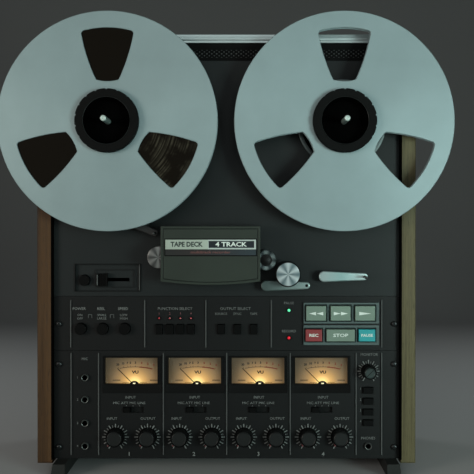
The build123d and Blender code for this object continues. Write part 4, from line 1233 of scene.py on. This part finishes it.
def bezel_pieces():
    """Two slate frames with a dark well round every key."""
    left, right = 95.9, 189.8
    upper, lower = (184.9, 210.9), (158.1, 182.9)
    cells, wells = [], []
    rows = ((("rewind_key", "fast_forward_key", "play_key"), upper),
            (("record_key", "stop_key", "pause_key"), lower))
    for nodes, (z0, z1) in rows:
        edges = [left]
        for a, b in zip(nodes, nodes[1:]):
            right_edge = centre(a)[0] + key_size(a)[0] / 2
            left_edge = centre(b)[0] - key_size(b)[0] / 2
            edges.append((right_edge + left_edge) / 2)
        edges.append(right)
        for node, x0, x1 in zip(nodes, edges, edges[1:]):
            cells.append(key_well(node, 1.7, rect(x0, x1, z0, z1), 1.6))
            width, height = key_size(node)
            x, z = centre(node)
            wells.append(ring_prism(around(x, z, width + 3.3, height + 3.3),
                                    around(x, z, width + 0.8, height + 0.8), 0, 0.3))
    piece("key_bezels", cells, SLATE, ROOT, bevel=0.3)
    piece("key_wells", wells, WELL, ROOT)


def button_pieces():
    names = ["cue_button", "cue_slider", "power_button", "reel_size_button", "speed_button"]
    names += numbered("function_button") + numbered("output_button", 3)
    for name in names + numbered("monitor_button") + numbered("input_switch"):
        coat(name, BUTTON)
    liners = []
    for i in range(1, 5):
        coat(f"vu_needle_{i}", SOFT_BLACK)
        x, z = centre(f"input_switch_{i}")
        liners.append(prism(around(x + SWITCH_STEP, z, 28, 9.5), -7.0, -6.5))
    piece("switch_liners", liners, SLOT_LINER, ROOT)


def cue_pieces():
    """Tray of the cue controls: a thin frame round the slider, and light strips on the tray's
    right-hand edge and the slider's left edge that are painted highlights.
    """
    floor = -2.5
    x0, x1, z0, z1 = -189.1, -107.4, 224.8, 259.0
    border = ring_prism(rect(-164.0, -114.6, 229.6, 252.0), rect(-163.2, -115.4, 230.4, 251.2),
                        floor, floor + 0.6)
    piece("cue_slider_frame", [border], BLACK_PANEL, ROOT)
    edge = ring_prism(rect(x0, x1, z0, z1), rect(x0 + 0.7, x1 - 0.7, z0 + 0.7, z1 - 0.7),
                      floor, 0.3)
    piece("cue_tray_edge", [edge], BLACK_PLASTIC, ROOT)
    # Painted highlight along the tray's right-hand edge.
    lip = prism(rect(x1 - 1.5, x1 - 0.6, z0 + 1, z1 - 0.6), floor, 0.1)
    piece("cue_tray_painted_highlight", [lip], FAINT_PRINT_AND_HIGHLIGHT, ROOT, bevel=0.2)
    knob_left, slider_z = low("cue_slider")[0], centre("cue_slider")[1]
    # Painted highlight along the left edge of the slider's knob.
    highlight_strip = prism(rect(knob_left + 0.1, knob_left + 1.1, slider_z - 6.6, slider_z + 6.6),
                  5.0, 6.2)
    piece("cue_slider_painted_highlight", [highlight_strip], FAINT_PRINT_AND_HIGHLIGHT, "cue_slider", bevel=0.3)


# ---- Sockets, screws, cabinet ----

REAR = -194.0              # outer face of the rear cover
PHONOS = [(x, z) for z in (60.0, 90.0) for x in (-120.0, -96.0, -72.0, -48.0)]


def connector_pieces():
    """Jacks with metal nuts and dark bores, phono sockets, mains inlet."""
    nuts = [lathe(x, z, [(3.2, 1.6), (3.4, 2.3), (3.9, 2.5), (4.4, 2.0), (4.4, -3), (7, -3),
                         (7, -30), (3.2, -30), (3.2, 1.6)], 40) for x, z in JACKS]
    shown = piece("jack_bushings", nuts, JACK_RING, ROOT)
    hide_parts("connectors")
    bores = [lathe(x, z, [(0, -24.5), (3.05, -24.5), (3.05, 1.2), (3.19, 1.4), (3.19, -25)], 32)
             for x, z in JACKS]
    piece("jack_bores", bores, SOFT_BLACK, ROOT)
    sleeves = [lathe(x, z, [(3.0, REAR + 5), (3.0, REAR - 5.2), (3.3, REAR - 5.5),
                            (3.8, REAR - 5.5), (4.1, REAR - 5.2), (4.1, REAR - 0.1),
                            (3.9, REAR - 0.1), (3.9, REAR + 5)], 32) for x, z in PHONOS]
    piece("phono_sleeves", sleeves, NICKEL, ROOT)
    inserts = [lathe(x, z, [(0, REAR + 4), (1.6, REAR + 4), (1.6, REAR - 4.4), (1.9, REAR - 4.7),
                            (3.0, REAR - 4.7), (3.0, REAR + 5)], 32) for x, z in PHONOS]
    piece("phono_inserts", inserts, BLACK_PLASTIC, ROOT)
    collars = [lathe(x, z, [(4.2, REAR), (6.0, REAR), (6.0, REAR - 0.8), (4.2, REAR - 0.8)], 32)
               for x, z in PHONOS]
    piece("phono_collars", collars, BLACK_PLASTIC, ROOT)
    x, z = 150.0, 60.0
    shell = ring_prism(around(x, z, 32, 24), around(x, z, 26, 18), REAR - 2, REAR + 14)
    floor = prism(around(x, z, 32, 24), REAR + 14, REAR + 17)
    piece("mains_inlet", [shell, floor], BLACK_PLASTIC, ROOT)
    pins = [lathe(px, z - 4, [(0, REAR + 2), (0.8, REAR + 2.2), (1.2, REAR + 3),
                              (1.2, REAR + 14)], 20) for px in (x - 6, x + 6)]
    piece("mains_pins", pins, NICKEL, ROOT)


def screw_shape(x, z, radius, ahead):
    """Domed screw seen from the front, with a conical driver recess."""
    rise = ((0, 0.5), (0.2, 0.6), (0.34, 1.7), (0.62, 1.6), (0.9, 1.05), (1, 0))
    return lathe(x, z, [(radius * share, ahead + height) for share, height in rise], 32)


def screw_pieces():
    shapes = [screw_shape(side * 209.0, z, 3.5, 0) for side in (-1, 1)
              for z in (30.5, 134.0, 184.2)]
    piece("panel_screws", shapes, SCREW, ROOT)
    places = [(x, z) for x in (-207, -70, 70, 207) for z in (24, 536)]
    heads = [lathe(x, z, [(0, REAR - 1.4), (1.6, REAR - 1.4), (2.9, REAR - 0.9), (3.2, REAR)], 24)
             for x, z in places + [(-207, 280), (207, 280)]]
    piece("rear_screws", heads, PLATED, ROOT)


def cabinet_pieces():
    coat("deck_plate", PAINT)
    coat("control_panels", BLACK_PANEL)
    coat("cabinet_covers", CRINKLE)
    coat("side_panels", WALNUT)
    coat("feet", FOOT)
    coat("head_assembly", PLATED)
    coat("chassis_internals", ZINC)
    seam_in, seam_out = 215.2, 217.4
    bottom, top = low("control_panels")[2], high("deck_plate")[2]
    seams = [prism(rect(side * seam_in, side * seam_out, bottom, top), -1.5,
                   front("side_panels") + 0.15) for side in (-1, 1)]
    piece("side_seams", seams, DEEP_BLACK, ROOT)


camera()
stage()
lights()
cabinet_pieces()
reel_pieces()
spindle_pieces()
pinch_pieces()
tension_arm_pieces()
roller_pieces()
head_cover_pieces()
grille_pieces()
trim_piece()
control_legends()
lamp_pieces()
meter_legends()
knob_pieces()
meter_pieces()
key_pieces()
button_pieces()
cue_pieces()
connector_pieces()
screw_pieces()
